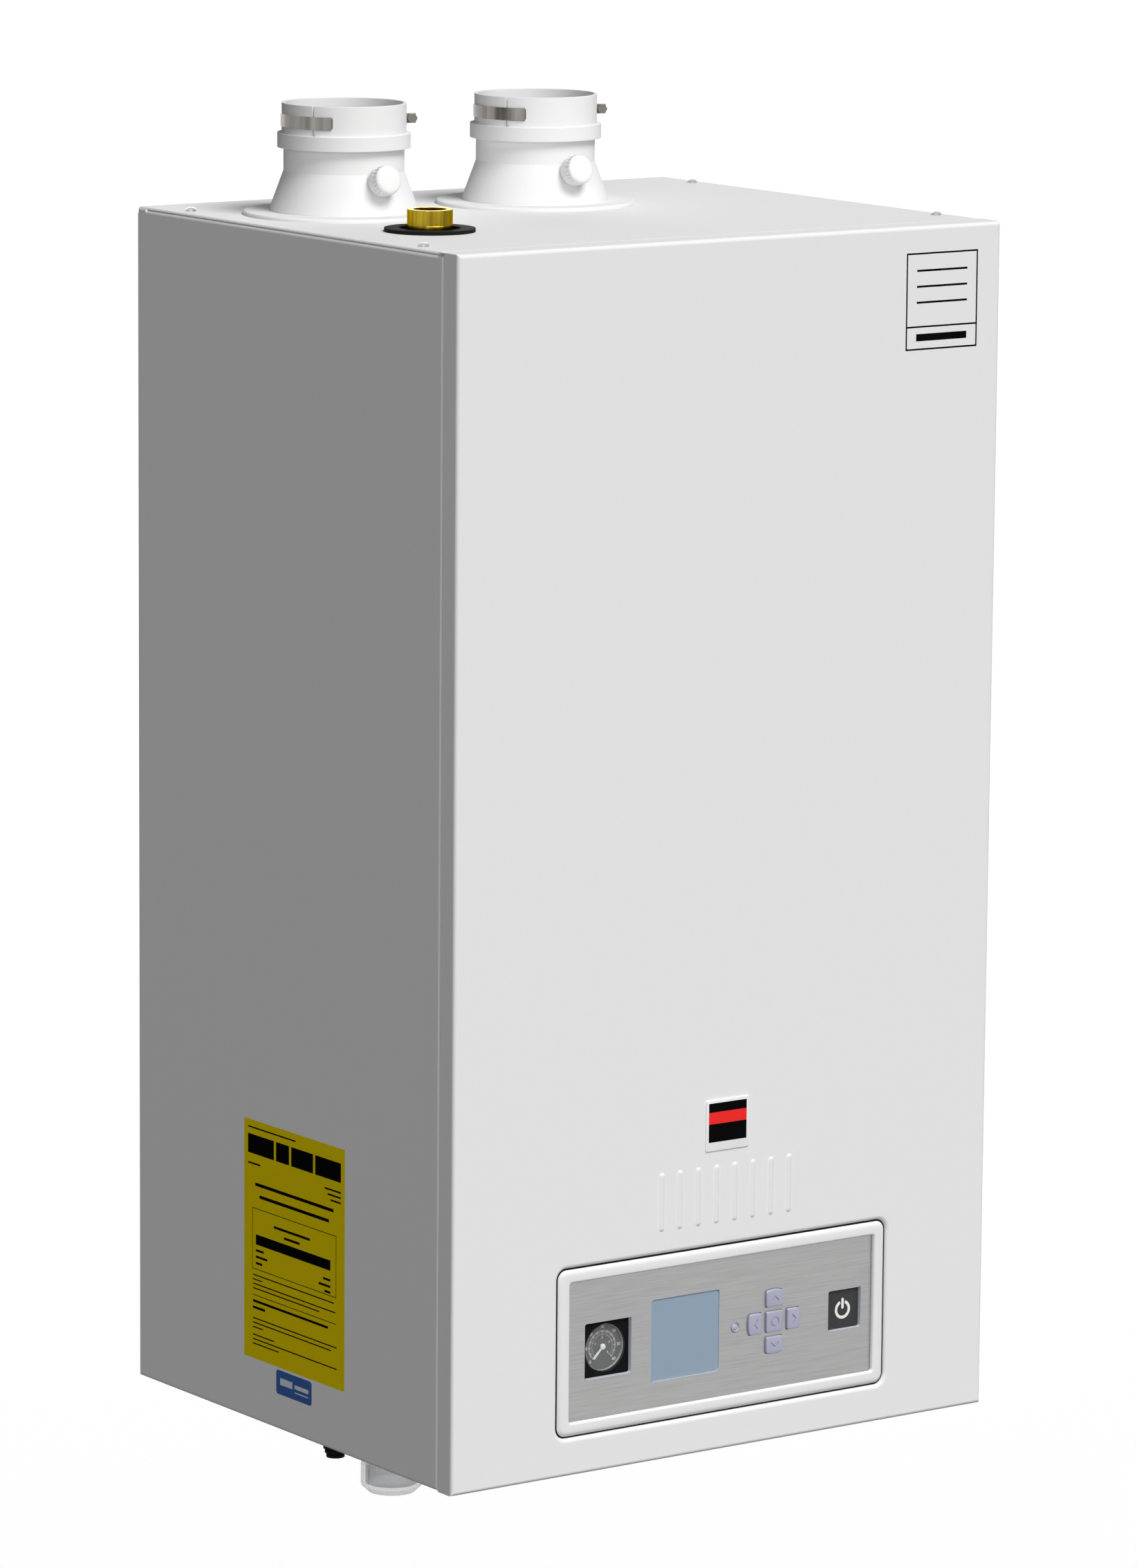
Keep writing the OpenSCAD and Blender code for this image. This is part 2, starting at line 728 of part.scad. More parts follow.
module adaptor() difference() {
    union() {
        rotate_extrude() adaptor_profile();
        test_port_frame() translate([0, 0, -test_in])
            cylinder(h = test_in - test_cap_len + cap_grip - running, r = test_port_r);
    }
    test_port_frame() translate([0, 0, -test_in - 10]) cylinder(h = test_in + 10, r = test_bore);
    rotate([0, 0, slit_angle]) translate([collar_in_r - 1, -slit_w / 2, ring_z + ring_h])
        cube([collar_wall + 2, slit_w, flue_h]);
    rotate([0, 0, slit_angle + window_angle / 2]) translate([collar_in_r - 2, 0, band_z + band_h / 2])
        rotate([90, 0, 90]) linear_extrude(8)
            round_rect(2 * collar_out_r * sin(window_angle / 2), band_h + 0.4, 2);
}

module at_adaptor(x) casing_frame() translate([x, flue_y, casing_h]) children();
module exhaust_adaptor() color("silver") at_adaptor(exhaust_x) adaptor();
module intake_adaptor() color("silver") at_adaptor(intake_x) adaptor();

// Clamp bands: a strip round each collar, a lug for the screw and a tail in the window
band_r = collar_out_r + 0.05;
band_sweep = 250;
screw_r = 53;
lug_t = 5;
lug_h = 7.6;
lug_edge = 3.6;
tail_w = 10.6;

module clamp_band() {
    rotate([0, 0, lug_angle - 10]) rotate_extrude(angle = band_sweep)
        translate([band_r, band_z]) square([band_t, band_h]);
    rotate([0, 0, lug_angle]) difference() {
        translate([band_r, -lug_t / 2, band_z + (band_h - lug_h) / 2])
            cube([screw_r + lug_edge - band_r, lug_t, lug_h]);
        along_y(screw_r, -lug_t, band_z + band_h / 2, 2 * lug_t, 2 + running);
    }
    rotate([0, 0, slit_angle + 11.5]) translate([collar_in_r + 0.6, 0.3 - tail_w / 2, band_z + 1])
        cube([band_r - collar_in_r - 0.25, tail_w, band_h - 2]);
}

module clamp_bands() color("silver") for (x = [intake_x, exhaust_x]) at_adaptor(x) clamp_band();

module clamp_screw() rotate([0, 0, lug_angle]) translate([screw_r, 0, band_z + band_h / 2]) rotate([-90, 0, 0]) {
    translate([0, 0, -lug_t / 2 - 3]) cylinder(h = 3, r = 4.04, $fn = 6);
    translate([0, 0, -lug_t / 2]) cylinder(h = lug_t + 6, r = 2);
}

module exhaust_clamp_screw() color("silver") at_adaptor(exhaust_x) clamp_screw();
module intake_clamp_screw() color("silver") at_adaptor(intake_x) clamp_screw();

// Test port caps: ribbed caps that close the sampling ports
grip_n = 24;
grip_len = 7;
grip_r = 0.6;
grip_rise = 0.4;

module test_cap() test_port_frame() difference() {
    union() {
        translate([0, 0, -test_cap_len]) cylinder(h = test_cap_len, r = test_cap_r - grip_rise);
        for (i = [0 : grip_n - 1]) rotate([0, 0, (i + 0.5) * 360 / grip_n])
            translate([test_cap_r - grip_r, 0, -grip_len - 2 * grip_r]) cylinder(h = grip_len, r = grip_r);
    }
    translate([0, 0, -test_cap_len - 1]) cylinder(h = cap_grip + 1, r = test_port_r + 2 * running);
}

module exhaust_test_cap() color("gray") at_adaptor(exhaust_x) test_cap();
module intake_test_cap() color("gray") at_adaptor(intake_x) test_cap();

// Relief fitting: a brass socket with two wrench flats, in a rubber washer
relief_r = 17;
relief_bore = 12.5;
flat_in = 15.6;
flat_turn = 250;

module relief_fitting() color("goldenrod") casing_frame() translate([relief_x, relief_y, casing_h]) difference() {
    translate([0, 0, -relief_drop]) cylinder(h = relief_z + relief_drop, r = relief_r);
    translate([0, 0, 5 - relief_drop]) cylinder(h = relief_z + relief_drop, r = relief_bore);
    translate([0, 0, -relief_drop - 1]) cylinder(h = 10, r = pipe_r - pipe_wall);
    for (k = [0, 180]) rotate([0, 0, flat_turn + k]) translate([flat_in, -relief_r, 5])
        cube([relief_r, 2 * relief_r, relief_z]);
}

cable_step = 3.4;
cable_steps = 7;
cable_taper = 1.15;
cable_ridge = 2.4;
cable_groove = 1.3;

module rubber_grommets() color("black") casing_frame() {
    translate([relief_x, relief_y, casing_h]) rotate_extrude() difference() {
        union() {
            square([grommet_r, grommet_t]);
            translate([0, -3]) square([grommet_hole_r - seat_gap, 4]);
            translate([0, -3]) square([grommet_hole_r + 3, 2]);
        }
        translate([0, -4]) square([relief_r + seat_gap, 8]);
        translate([0, -0.5]) square([grommet_hole_r - 1, 4]);
        translate([0, -4]) square([grommet_hole_r - 2, 2]);
    }
    translate([cable_x, cable_y, 0]) rotate_extrude() difference() {
        union() {
            translate([0, floor_z]) square([cable_r + 2, 2]);
            square([cable_r, floor_z + eps]);
            for (i = [0 : cable_steps - 1]) translate([0, -cable_step * (i + 1)]) {
                square([cable_r + 2 - cable_taper * i, cable_ridge]);
                square([cable_r + 2 - cable_taper * i - cable_groove, cable_step + sheet_t]);
            }
        }
        translate([0, -cable_step * cable_steps - 1]) square([cable_bore, 2 * cable_step * cable_steps]);
    }
}

// Pipes inside the casing: supply, return, pump, vessel and relief
supply_run_z = hx_z - 240;
return_run_z = pump_z + 110;
vessel_run_z = supply_run_z;
block_top = block_z + block_h;
left_block = (flow_x + hot_x) / 2;
right_block = (cold_x + return_x) / 2;
supply_boss_z = hx_z - hx_r - 2;
return_boss_x = hx_x + hx_r;
return_z = hx_z - 60;
relief_boss_z = hx_z + hx_r + foot_h;
pump_top = pump_z + pump_body_r + 13;
pump_bottom = pump_z - pump_body_r - 13;
pump_pipe_z = block_z + 12;
return_run_x = return_boss_x + pipe_bend + 2;
relief_run_z = hx_z + hx_r + 65;
vessel_y = chassis_y - vessel_d / 2;
vessel_port_z = hx_z - vessel_r - 10;

module heating_pipes() color("peru") casing_frame() {
    hollow_pipe([[supply_x, supply_y, supply_boss_z], [supply_x, supply_y, supply_run_z],
        [left_block, supply_y, supply_run_z], [left_block, stub_y, supply_run_z], [left_block, stub_y, block_top]],
        pipe_r, pipe_wall, pipe_bend);
    hollow_pipe([[return_boss_x, pump_y, return_z], [return_run_x, pump_y, return_z],
        [return_run_x, pump_y, return_run_z], [pump_x, pump_y, return_run_z], [pump_x, pump_y, pump_top]],
        pipe_r, pipe_wall, pipe_bend);
    hollow_pipe([[pump_x, pump_y, pump_bottom], [pump_x, pump_y, pump_pipe_z], [pump_x, stub_y, pump_pipe_z],
        [right_block + block_w / 2, stub_y, pump_pipe_z]], pipe_r, pipe_wall, pipe_bend);
    hollow_pipe([[module_x, vessel_y, vessel_port_z], [module_x, vessel_y, vessel_run_z],
        [return_x, vessel_y, vessel_run_z], [return_x, stub_y, vessel_run_z], [return_x, stub_y, block_top]],
        tap_pipe_r, pipe_wall, pipe_bend);
    hollow_pipe([[relief_x, relief_y, casing_h - relief_drop], [relief_x, relief_y, relief_run_z],
        [hx_x, relief_y, relief_run_z], [hx_x, relief_y, relief_boss_z]], pipe_r, pipe_wall, pipe_bend);
}

// Heat exchanger: a drum with bosses for its pipes and feet on the two rails
hx_wall = 3;
boss_r = 16;
coil_end_r = 10;
mouth_r = 62;
flue_port_r = 29;
foot_x = 60;
foot_w = 24;
vent_z = hx_z + hx_r - 8;
vent_bore = 5;

module heat_exchanger() color("silver") casing_frame() difference() {
    union() {
        along_y(hx_x, hx_front, hx_z, hx_len, hx_r);
        translate([supply_x, supply_y, supply_boss_z]) cylinder(h = 60, r = boss_r);
        translate([return_boss_x - 30, pump_y, return_z]) rotate([0, 90, 0]) cylinder(h = 30, r = boss_r);
        translate([hx_x, relief_y, hx_z + hx_r - 10]) cylinder(h = foot_h + 10, r = boss_r);
        translate([vent_x, relief_y, hx_z + 100]) cylinder(h = vent_z - hx_z - 100, r = boss_r - 2);
        for (s = [-1, 1]) translate([hx_x + s * foot_x - foot_w / 2, rail_y0, rail_low + rail_h])
            cube([foot_w, rail_d, 2 * (hx_r + foot_h)]);
    }
    along_y(hx_x, hx_front + hx_wall, hx_z, hx_len - 2 * hx_wall, hx_r - hx_wall);
    along_y(hx_x, hx_front - 1, hx_z, 10, mouth_r);
    along_y(exhaust_x, hx_back - 10, hx_z + port_dz, 20, flue_port_r + seat_gap);
    translate([supply_x, supply_y, supply_boss_z - 1]) cylinder(h = 60, r = coil_end_r + seat_gap);
    translate([return_boss_x - 40, pump_y, return_z]) rotate([0, 90, 0])
        cylinder(h = 50, r = coil_end_r + seat_gap);
    translate([hx_x, relief_y, hx_z + hx_r - 20]) cylinder(h = 40, r = pipe_r - pipe_wall);
    translate([vent_x, relief_y, hx_z + 90]) cylinder(h = 50, r = vent_bore);
}

// Coil: hollow rings between two headers, with ends in the drum's bosses
coil_n = 6;
coil_pitch = 22;
coil_front = hx_front + 20;
coil_tube_r = 9;
supply_header_z = hx_z - sqrt(pow(coil_r, 2) - pow(hx_x - supply_x, 2));
return_header_x = hx_x + sqrt(pow(coil_r, 2) - pow(hx_z - return_z, 2));

module coil_rings(r) for (i = [0 : coil_n - 1]) translate([hx_x, coil_front + i * coil_pitch, hx_z])
    rotate([-90, 0, 0]) rotate_extrude() translate([coil_r, 0]) circle(r);

module exchanger_coil() color("silver") casing_frame() difference() {
    union() {
        coil_rings(coil_tube_r);
        for (p = [[supply_x, supply_header_z], [return_header_x, return_z]])
            along_y(p.x, coil_front - 8, p.y, (coil_n - 1) * coil_pitch + 16, coil_end_r);
        translate([supply_x, supply_y, supply_boss_z])
            cylinder(h = supply_header_z - supply_boss_z, r = coil_end_r);
        translate([return_header_x, pump_y, return_z]) rotate([0, 90, 0])
            cylinder(h = return_boss_x - return_header_x, r = coil_end_r);
    }
    coil_rings(coil_tube_r - pipe_wall);
}

// Burner: a closed tube on a flange, behind the burner door
burner_l = 100;
burner_flange = 7;
door_disc_r = 110;
door_disc_t = 12;
hub_r = 41;
gas_bore = 30;

module burner() color("gray") casing_frame() difference() {
    union() {
        along_y(hx_x, hx_front, hx_z, burner_l, burner_r);
        along_y(hx_x, hx_front, hx_z, 2, burner_r + burner_flange);
    }
    along_y(hx_x, hx_front - 1, hx_z, burner_l - 0.5, burner_r - 1.5);
}

electrode_places = [[hx_x + 45, hx_z + 24], [hx_x + 22, hx_z - 46]];
ceramic_r = 5;
ceramic_l = 16;
ceramic_flange = 2;
pin_r = 1.3;
pin_l = 80;
pin_out = 24;

module burner_door() color("lightgray") casing_frame() difference() {
    union() {
        along_y(hx_x, hx_front - door_disc_t, hx_z, door_disc_t, door_disc_r);
        along_y(hx_x, door_plate_y, hx_z, hx_front - door_disc_t - door_plate_y, hub_r);
    }
    along_y(hx_x, door_plate_y - 1, hx_z, 20, gas_bore);
    for (p = electrode_places) along_y(p.x, door_plate_y, p.y, 20, ceramic_r + seat_gap);
}

module electrodes() color("white") casing_frame() for (p = electrode_places) {
    door_face = hx_front - door_disc_t;
    along_y(p.x, door_face - ceramic_l, p.y, door_disc_t + ceramic_l, ceramic_r);
    along_y(p.x, door_face - ceramic_flange, p.y, ceramic_flange, ceramic_r + ceramic_flange);
    along_y(p.x, door_face - pin_out, p.y, pin_l, pin_r);
}

// Fan: a scroll housing, its impeller and the motor on its front
duct_end = 165;
throat_in = 26;

module fan_housing() color("lightgray") casing_frame() difference() {
    union() {
        along_y(fan_x, fan_y, fan_z, fan_w, fan_r);
        translate([fan_x, fan_y, duct_z - duct_h / 2]) cube([duct_end - fan_x, fan_w, duct_h]);
    }
    along_y(fan_x, fan_y + duct_wall, fan_z, fan_w - 2 * duct_wall, fan_r - duct_wall);
    translate([fan_x, fan_y + duct_wall, duct_z - duct_h / 2 + duct_wall])
        cube([duct_end - fan_x + 1, fan_w - 2 * duct_wall, duct_h - 2 * duct_wall]);
    along_y(fan_x, fan_y - 1, fan_z, 5, shaft_r + 2);
    along_y(fan_x, fan_y + fan_w - 5, fan_z, 6, throat_in);
}

blade_n = 14;
blade_l = 18;
blade_t = 1.2;
blade_w = 18;
disc_t = 2;
disc_y = fan_y + 6;
hub_l = 16;
shaft_out = 15;

module fan_impeller() color("dimgray") casing_frame() {
    along_y(fan_x, fan_y - shaft_out, fan_z, fan_w - 8, shaft_r);
    along_y(fan_x, disc_y, fan_z, hub_l, 3 * shaft_r);
    along_y(fan_x, disc_y, fan_z, disc_t, impeller_r);
    for (i = [0 : blade_n - 1]) translate([fan_x, disc_y + disc_t, fan_z]) rotate([0, 360 / blade_n * i, 0])
        translate([impeller_r - 1 - blade_l, 0, -blade_t / 2]) cube([blade_l, blade_w, blade_t]);
}

motor_r = 38;

module fan_motor() color("dimgray") casing_frame() difference() {
    along_y(fan_x, motor_y, fan_z, fan_y - motor_y, motor_r);
    along_y(fan_x, fan_y - shaft_out - 1, fan_z, shaft_out + 5, shaft_r + running);
}

// Venturi: mixes gas from its lower port with air from the intake duct
venturi_body = venturi_r - 4;
flange_t = 4;
venturi_flange_r = 42;
venturi_throat_r = 20;
venturi_mouth_r = 30;
venturi_steps = [0.44, 0.56, 0.76] * venturi_len;
gas_port_r = 6;

module mixing_venturi() color("lightgray") casing_frame() difference() {
    union() {
        along_y(fan_x, venturi_y, fan_z, venturi_len, venturi_body);
        for (y = [venturi_y, venturi_y + venturi_len - flange_t])
            along_y(fan_x, y, fan_z, flange_t, venturi_flange_r);
        translate([fan_x, gas_y, nipple_top]) cylinder(h = 20, r = nipple_r);
    }
    translate([fan_x, venturi_y, fan_z]) rotate([-90, 0, 0]) rotate_extrude()
        polygon([[0, -1], [throat_in, -1], [throat_in, 0], [venturi_throat_r, venturi_steps[0]],
            [venturi_throat_r, venturi_steps[1]], [venturi_mouth_r, venturi_steps[2]],
            [venturi_mouth_r, venturi_len + 2], [0, venturi_len + 2]]);
    translate([fan_x, gas_y, nipple_top - 1]) cylinder(h = venturi_r, r = gas_port_r);
}

// Mixture duct: from the fan's outlet to the burner door's hub
duct_drum_r = 44;

module mixture_duct() color("lightgray") casing_frame() difference() {
    union() {
        along_y(hx_x, fan_y, hx_z, fan_w, duct_drum_r);
        translate([duct_end, fan_y, duct_z - duct_h / 2]) cube([hx_x - duct_end, fan_w, duct_h]);
    }
    along_y(hx_x, fan_y + duct_wall, hx_z, fan_w - 2 * duct_wall, duct_drum_r - duct_wall);
    translate([duct_end - 1, fan_y + duct_wall, duct_z - duct_h / 2 + duct_wall])
        cube([hx_x - duct_end, fan_w - 2 * duct_wall, duct_h - 2 * duct_wall]);
    along_y(hx_x, fan_y + fan_w - 5, hx_z, 10, gas_bore);
}

// Gas valve between the gas pipe and the venturi
valve_w = 60;
valve_d = 80;
solenoid_r = 15;
solenoid_l = 16;
solenoid_places = [24, 64];

module gas_valve() color("silver") casing_frame() difference() {
    union() {
        translate([fan_x - valve_w / 2, gas_y - valve_d / 2, valve_z]) cube([valve_w, valve_d, valve_h]);
        translate([fan_x, gas_y, valve_z + valve_h]) cylinder(h = nipple_top - valve_z - valve_h, r = nipple_r);
        for (z = solenoid_places)
            along_y(fan_x, gas_y - valve_d / 2 - solenoid_l, valve_z + z, solenoid_l, solenoid_r);
    }
    translate([fan_x, gas_y, valve_z + 60]) cylinder(h = 100, r = gas_port_r);
    translate([fan_x, gas_y, valve_z - 1]) cylinder(h = 31, r = pipe_r - pipe_wall);
}

gas_run_y = stub_y - 68;
gas_low_z = 35;
gas_high_z = valve_z - 105;

module gas_pipe() color("goldenrod") casing_frame() {
    hollow_pipe([[module_x, stub_y, -stub_drop], [module_x, stub_y, gas_low_z], [module_x, gas_run_y, gas_low_z],
        [module_x, gas_run_y, gas_high_z], [fan_x, gas_run_y, gas_high_z], [fan_x, gas_y, gas_high_z],
        [fan_x, gas_y, valve_z]], pipe_r, pipe_wall, pipe_bend);
    translate([module_x, stub_y, pin_len - stub_drop]) difference() {
        cylinder(h = gas_low_z - pipe_bend + swage + stub_drop - pin_len, r = pipe_r + swage);
        translate([0, 0, -1]) cylinder(h = gas_low_z + stub_drop, r = pipe_r - pipe_wall / 2);
    }
}

module intake_duct() color("gray") casing_frame() hollow_pipe([[intake_x, flue_y, casing_h - spigot_stop],
    [intake_x, flue_y, fan_z], [intake_x, venturi_y + venturi_len, fan_z]], inner_flue_r, duct_wall, 60);

// Flue collector behind the drum, with a socket for the flue pipe and a drain below
collector_r = socket_r + 2.2;

module flue_collector() color("gray") casing_frame() difference() {
    union() {
        translate([exhaust_x, flue_y, collector_z]) cylinder(h = collector_h, r = collector_r);
        along_y(exhaust_x, hx_back - hx_wall, hx_z + port_dz, flue_y - hx_back + hx_wall, flue_port_r);
        along_y(exhaust_x, hx_back, hx_z + port_dz, 3, flue_port_r + 7);
        translate([exhaust_x, flue_y, collector_z - foot_h]) cylinder(h = foot_h, r = hose_r);
    }
    translate([exhaust_x, flue_y, collector_z + flue_ledge]) cylinder(h = collector_h, r = socket_r);
    translate([exhaust_x, flue_y, collector_z + 3]) cylinder(h = collector_h, r = throat_r);
    along_y(exhaust_x, hx_back - 10, hx_z + port_dz, flue_y - hx_back + 10, flue_port_r - 3);
    translate([exhaust_x, flue_y, collector_z - 20]) cylinder(h = 40, r = hose_r - 4);
}

module flue_pipe() color("lightgray") casing_frame() translate([exhaust_x, flue_y, collector_z + flue_ledge])
    difference() {
        cylinder(h = casing_h - spigot_stop - collector_z - flue_ledge, r = inner_flue_r);
        translate([0, 0, -1]) cylinder(h = casing_h, r = inner_flue_r - 1.5);
    }

hose_run_z = rail_low - 15;

module condensate_hose() color("gray") casing_frame() hollow_pipe([[exhaust_x, flue_y, collector_z - foot_h],
    [exhaust_x, flue_y, hose_run_z], [trap_x, flue_y, hose_run_z], [trap_x, trap_y, hose_run_z],
    [trap_x, trap_y, trap_top]], hose_r, 2, 20);

// Condensate trap through the bottom panel, with a clear screw cap
module condensate_trap() color("gray") casing_frame() translate([trap_x, trap_y, 0]) difference() {
    union() {
        translate([0, 0, trap_bottom]) cylinder(h = trap_top - 12 - trap_bottom, r = trap_r);
        translate([0, 0, floor_z]) cylinder(h = 3, r = trap_r + 7);
        cylinder(h = trap_top, r = hose_r);
        along_y(0, 0, 60, trap_r + 14, hose_r - 1);
    }
    translate([0, 0, trap_bottom - 1]) cylinder(h = trap_top - 14 - trap_bottom, r = trap_r - 2);
    translate([0, 0, trap_top - 20]) cylinder(h = 30, r = hose_r - 4);
    along_y(0, 0, 60, trap_r + 20, hose_r - 4);
}

cap_chamfer = 5;
cap_rib_n = 8;
cap_rib_w = 1;
cap_rib_rise = 0.6;
cap_rib_in = 1;

module trap_cap() color("lightcyan") casing_frame() translate([trap_x, trap_y, 0]) difference() {
    union() {
        rotate_extrude() polygon([[0, cap_bottom], [trap_cap_r - cap_chamfer, cap_bottom],
            [trap_cap_r, cap_bottom + cap_chamfer], [trap_cap_r, cap_bottom + cap_h], [0, cap_bottom + cap_h]]);
        for (i = [0 : cap_rib_n - 1]) rotate([0, 0, (i + 0.22) * 360 / cap_rib_n])
            translate([trap_cap_r - cap_rib_w, -cap_rib_w, cap_bottom + cap_chamfer + cap_rib_in])
                cube([cap_rib_w + cap_rib_rise, 2 * cap_rib_w, cap_h - cap_chamfer - 2 * cap_rib_in]);
    }
    translate([0, 0, trap_bottom]) cylinder(h = 40, r = trap_r + seat_gap);
}

// Expansion vessel: a flat steel disc on the back panel
vessel_wall = 1.5;
vessel_rim = 30;

module vessel_shape(in) rotate([-90, 0, 0]) rotate_extrude() translate([0, in]) {
    square([vessel_r - vessel_rim, vessel_d - 2 * in]);
    translate([0, vessel_rim - in]) square([vessel_r - in, vessel_d - 2 * vessel_rim]);
    for (z = [vessel_rim - in, vessel_d - vessel_rim - in])
        intersection() {
            translate([vessel_r - vessel_rim, z]) circle(vessel_rim - in);
            square([vessel_r, vessel_d]);
        }
}

module expansion_vessel() color("firebrick") casing_frame() difference() {
    union() {
        translate([module_x, chassis_y - vessel_d, hx_z]) vessel_shape(0);
        translate([module_x, vessel_y, vessel_port_z]) cylinder(h = 20, r = tap_pipe_r);
    }
    translate([module_x, chassis_y - vessel_d, hx_z]) vessel_shape(vessel_wall);
    translate([module_x, vessel_y, vessel_port_z - 1]) cylinder(h = 30, r = tap_pipe_r - pipe_wall);
}

// Pump: a housing with its motor, and a rotor on one shaft
volute_d = 48;
chamber_r = 36;
chamber_d = 36;
can_r = 26;

module pump_housing() color("darkslategray") casing_frame() difference() {
    union() {
        along_y(pump_x, pump_y - volute_d / 2, pump_z, volute_d, pump_body_r);
        along_y(pump_x, pump_front, pump_z, pump_y - pump_front - volute_d / 2, pump_r);
        translate([pump_x, pump_y, pump_bottom]) cylinder(h = pump_top - pump_bottom, r = port_r);
    }
    along_y(pump_x, pump_y - chamber_d / 2, pump_z, chamber_d, chamber_r);
    along_y(pump_x, pump_front + 10, pump_z, pump_y - chamber_d / 2 - pump_front - 9, can_r);
    along_y(pump_x, pump_front + 2, pump_z, 10, shaft_r + running);
    translate([pump_x, pump_y, pump_bottom - 1]) cylinder(h = pump_top - pump_bottom + 2, r = pipe_r - pipe_wall);
}

module pump_rotor() color("silver") casing_frame() {
    along_y(pump_x, pump_front + 3, pump_z, pump_y + 14 - pump_front - 3, shaft_r);
    along_y(pump_x, pump_front + 14, pump_z, pump_y - 50 - pump_front, can_r - 1.5);
    along_y(pump_x, pump_y - 14, pump_z, 28, chamber_r - 4);
}

// Plate exchanger on the two hydraulic blocks
plates_w = 144;
plates_d = 75;
plates_h = 78;
plate_n = 12;
plate_edge = 1.5;
plate_rim_t = 2;
plates_wall = 6;

module plate_exchanger() color("silver") casing_frame() translate([module_x - plates_w / 2, stub_y - 30, block_top])
    difference() {
        union() {
            translate([plate_edge, plate_edge, 0])
                cube([plates_w - 2 * plate_edge, plates_d - 2 * plate_edge, plates_h]);
            for (i = [0 : plate_n]) translate([0, 0, i * (plates_h - plate_rim_t) / plate_n])
                cube([plates_w, plates_d, plate_rim_t]);
        }
        translate([plates_wall, plates_wall, plates_wall])
            cube([plates_w - 2 * plates_wall, plates_d - 2 * plates_wall, plates_h - 2 * plates_wall]);
    }

// Hydraulic blocks on legs, over the pipe ends
leg_w = 8;
channel_r = 9;
channel_z = block_z + 32;
channel_in = 8;

module hydraulic_block(x) difference() {
    union() {
        translate([x - block_w / 2, stub_y - block_d / 2, block_z]) cube([block_w, block_d, block_h]);
        for (sx = [-1, 1], sy = [-1, 1])
            translate([x + sx * (block_w - leg_w) / 2, stub_y + sy * (block_d - leg_w) / 2, floor_z])
                translate([-leg_w / 2, -leg_w / 2, 0]) cube([leg_w, leg_w, block_z - floor_z]);
    }
    translate([x - block_w / 2 + channel_in, stub_y, channel_z]) rotate([0, 90, 0])
        cylinder(h = block_w - 2 * channel_in, r = channel_r);
}

// A way up from a pipe's end into the block's channel
module port_up(x, r) translate([x, stub_y, block_z - 1]) cylinder(h = channel_z - block_z + 1, r = r - pipe_wall);

module hydraulic_blocks() color("dimgray") casing_frame() {
    difference() {
        hydraulic_block(left_block);
        port_up(flow_x, pipe_r);
        port_up(hot_x, tap_pipe_r);
        translate([left_block, stub_y, channel_z]) cylinder(h = block_h, r = pipe_r - pipe_wall);
    }
    difference() {
        hydraulic_block(right_block);
        port_up(return_x, pipe_r);
        port_up(cold_x, tap_pipe_r);
        translate([return_x, stub_y, channel_z]) cylinder(h = block_h, r = tap_pipe_r - pipe_wall);
    }
}

// Pipe ends below the casing, and the union nuts that hold them to the blocks
stub_places = [[flow_x, pipe_r], [hot_x, tap_pipe_r], [cold_x, tap_pipe_r], [return_x, pipe_r]];
nut_h = 16;
nut_wall = 5;

module water_stubs() color("peru") casing_frame() for (p = stub_places)
    translate([p.x, stub_y, -stub_drop]) difference() {
        union() {
            cylinder(h = stub_drop, r = p.y);
            translate([0, 0, pin_len]) cylinder(h = stub_drop + block_z - pin_len, r = p.y + swage);
        }
        translate([0, 0, -1]) cylinder(h = stub_drop + block_z + 2, r = p.y - pipe_wall);
    }

module union_nuts() color("goldenrod") casing_frame() for (p = stub_places)
    translate([p.x, stub_y, block_z - nut_h]) difference() {
        cylinder(h = nut_h, r = (p.y + nut_wall) / cos(30), $fn = 6);
        translate([0, 0, -1]) cylinder(h = nut_h + 2, r = p.y + swage + running);
    }

// Air vent on the drum's top boss
vent_body_r = 12;
vent_body_h = 28;
vent_cap_r = 7;
vent_cap_h = 10;

module air_vent() color("goldenrod") casing_frame() translate([vent_x, relief_y, vent_z]) difference() {
    union() {
        cylinder(h = vent_body_h, r = vent_body_r);
        translate([0, 0, vent_body_h]) cylinder(h = vent_cap_h, r = vent_cap_r);
    }
    translate([0, 0, -1]) cylinder(h = vent_body_h - 3, r = vent_bore);
}

front_panel();
side_panel_left();
side_panel_right();
top_cover();
bottom_panel();
back_panel();
wall_bracket();
cross_rails();
cover_screws();
control_fascia();
control_plate();
control_boards();
control_box();
display_module();
indicator_lens();
key_up();
key_down();
key_left();
key_right();
key_ok();
power_key();
gauge_case();
gauge_needle();
gauge_glass();
exhaust_adaptor();
intake_adaptor();
clamp_bands();
exhaust_clamp_screw();
intake_clamp_screw();
exhaust_test_cap();
intake_test_cap();
relief_fitting();
rubber_grommets();
heating_pipes();
heat_exchanger();
exchanger_coil();
burner();
burner_door();
electrodes();
fan_housing();
fan_impeller();
fan_motor();
mixing_venturi();
mixture_duct();
gas_valve();
gas_pipe();
intake_duct();
flue_collector();
flue_pipe();
condensate_hose();
condensate_trap();
trap_cap();
expansion_vessel();
pump_housing();
pump_rotor();
plate_exchanger();
hydraulic_blocks();
water_stubs();
union_nuts();
air_vent();
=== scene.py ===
# %% [markdown]
# # Wall-hung gas boiler
# A gas boiler of this kind is a folded steel casing with a sheet metal door, two plastic flue adaptors on its
# roof and a small control module low on the door. The exact shapes come from the CAD frame, and this file
# gives them their finishes, lights them, and remakes the small parts that are seen close up. The frame is
# loaded first, because every later piece is measured from it.

# %% Load the frame
import math

import bmesh
import bpy
from mathutils import Matrix, Vector


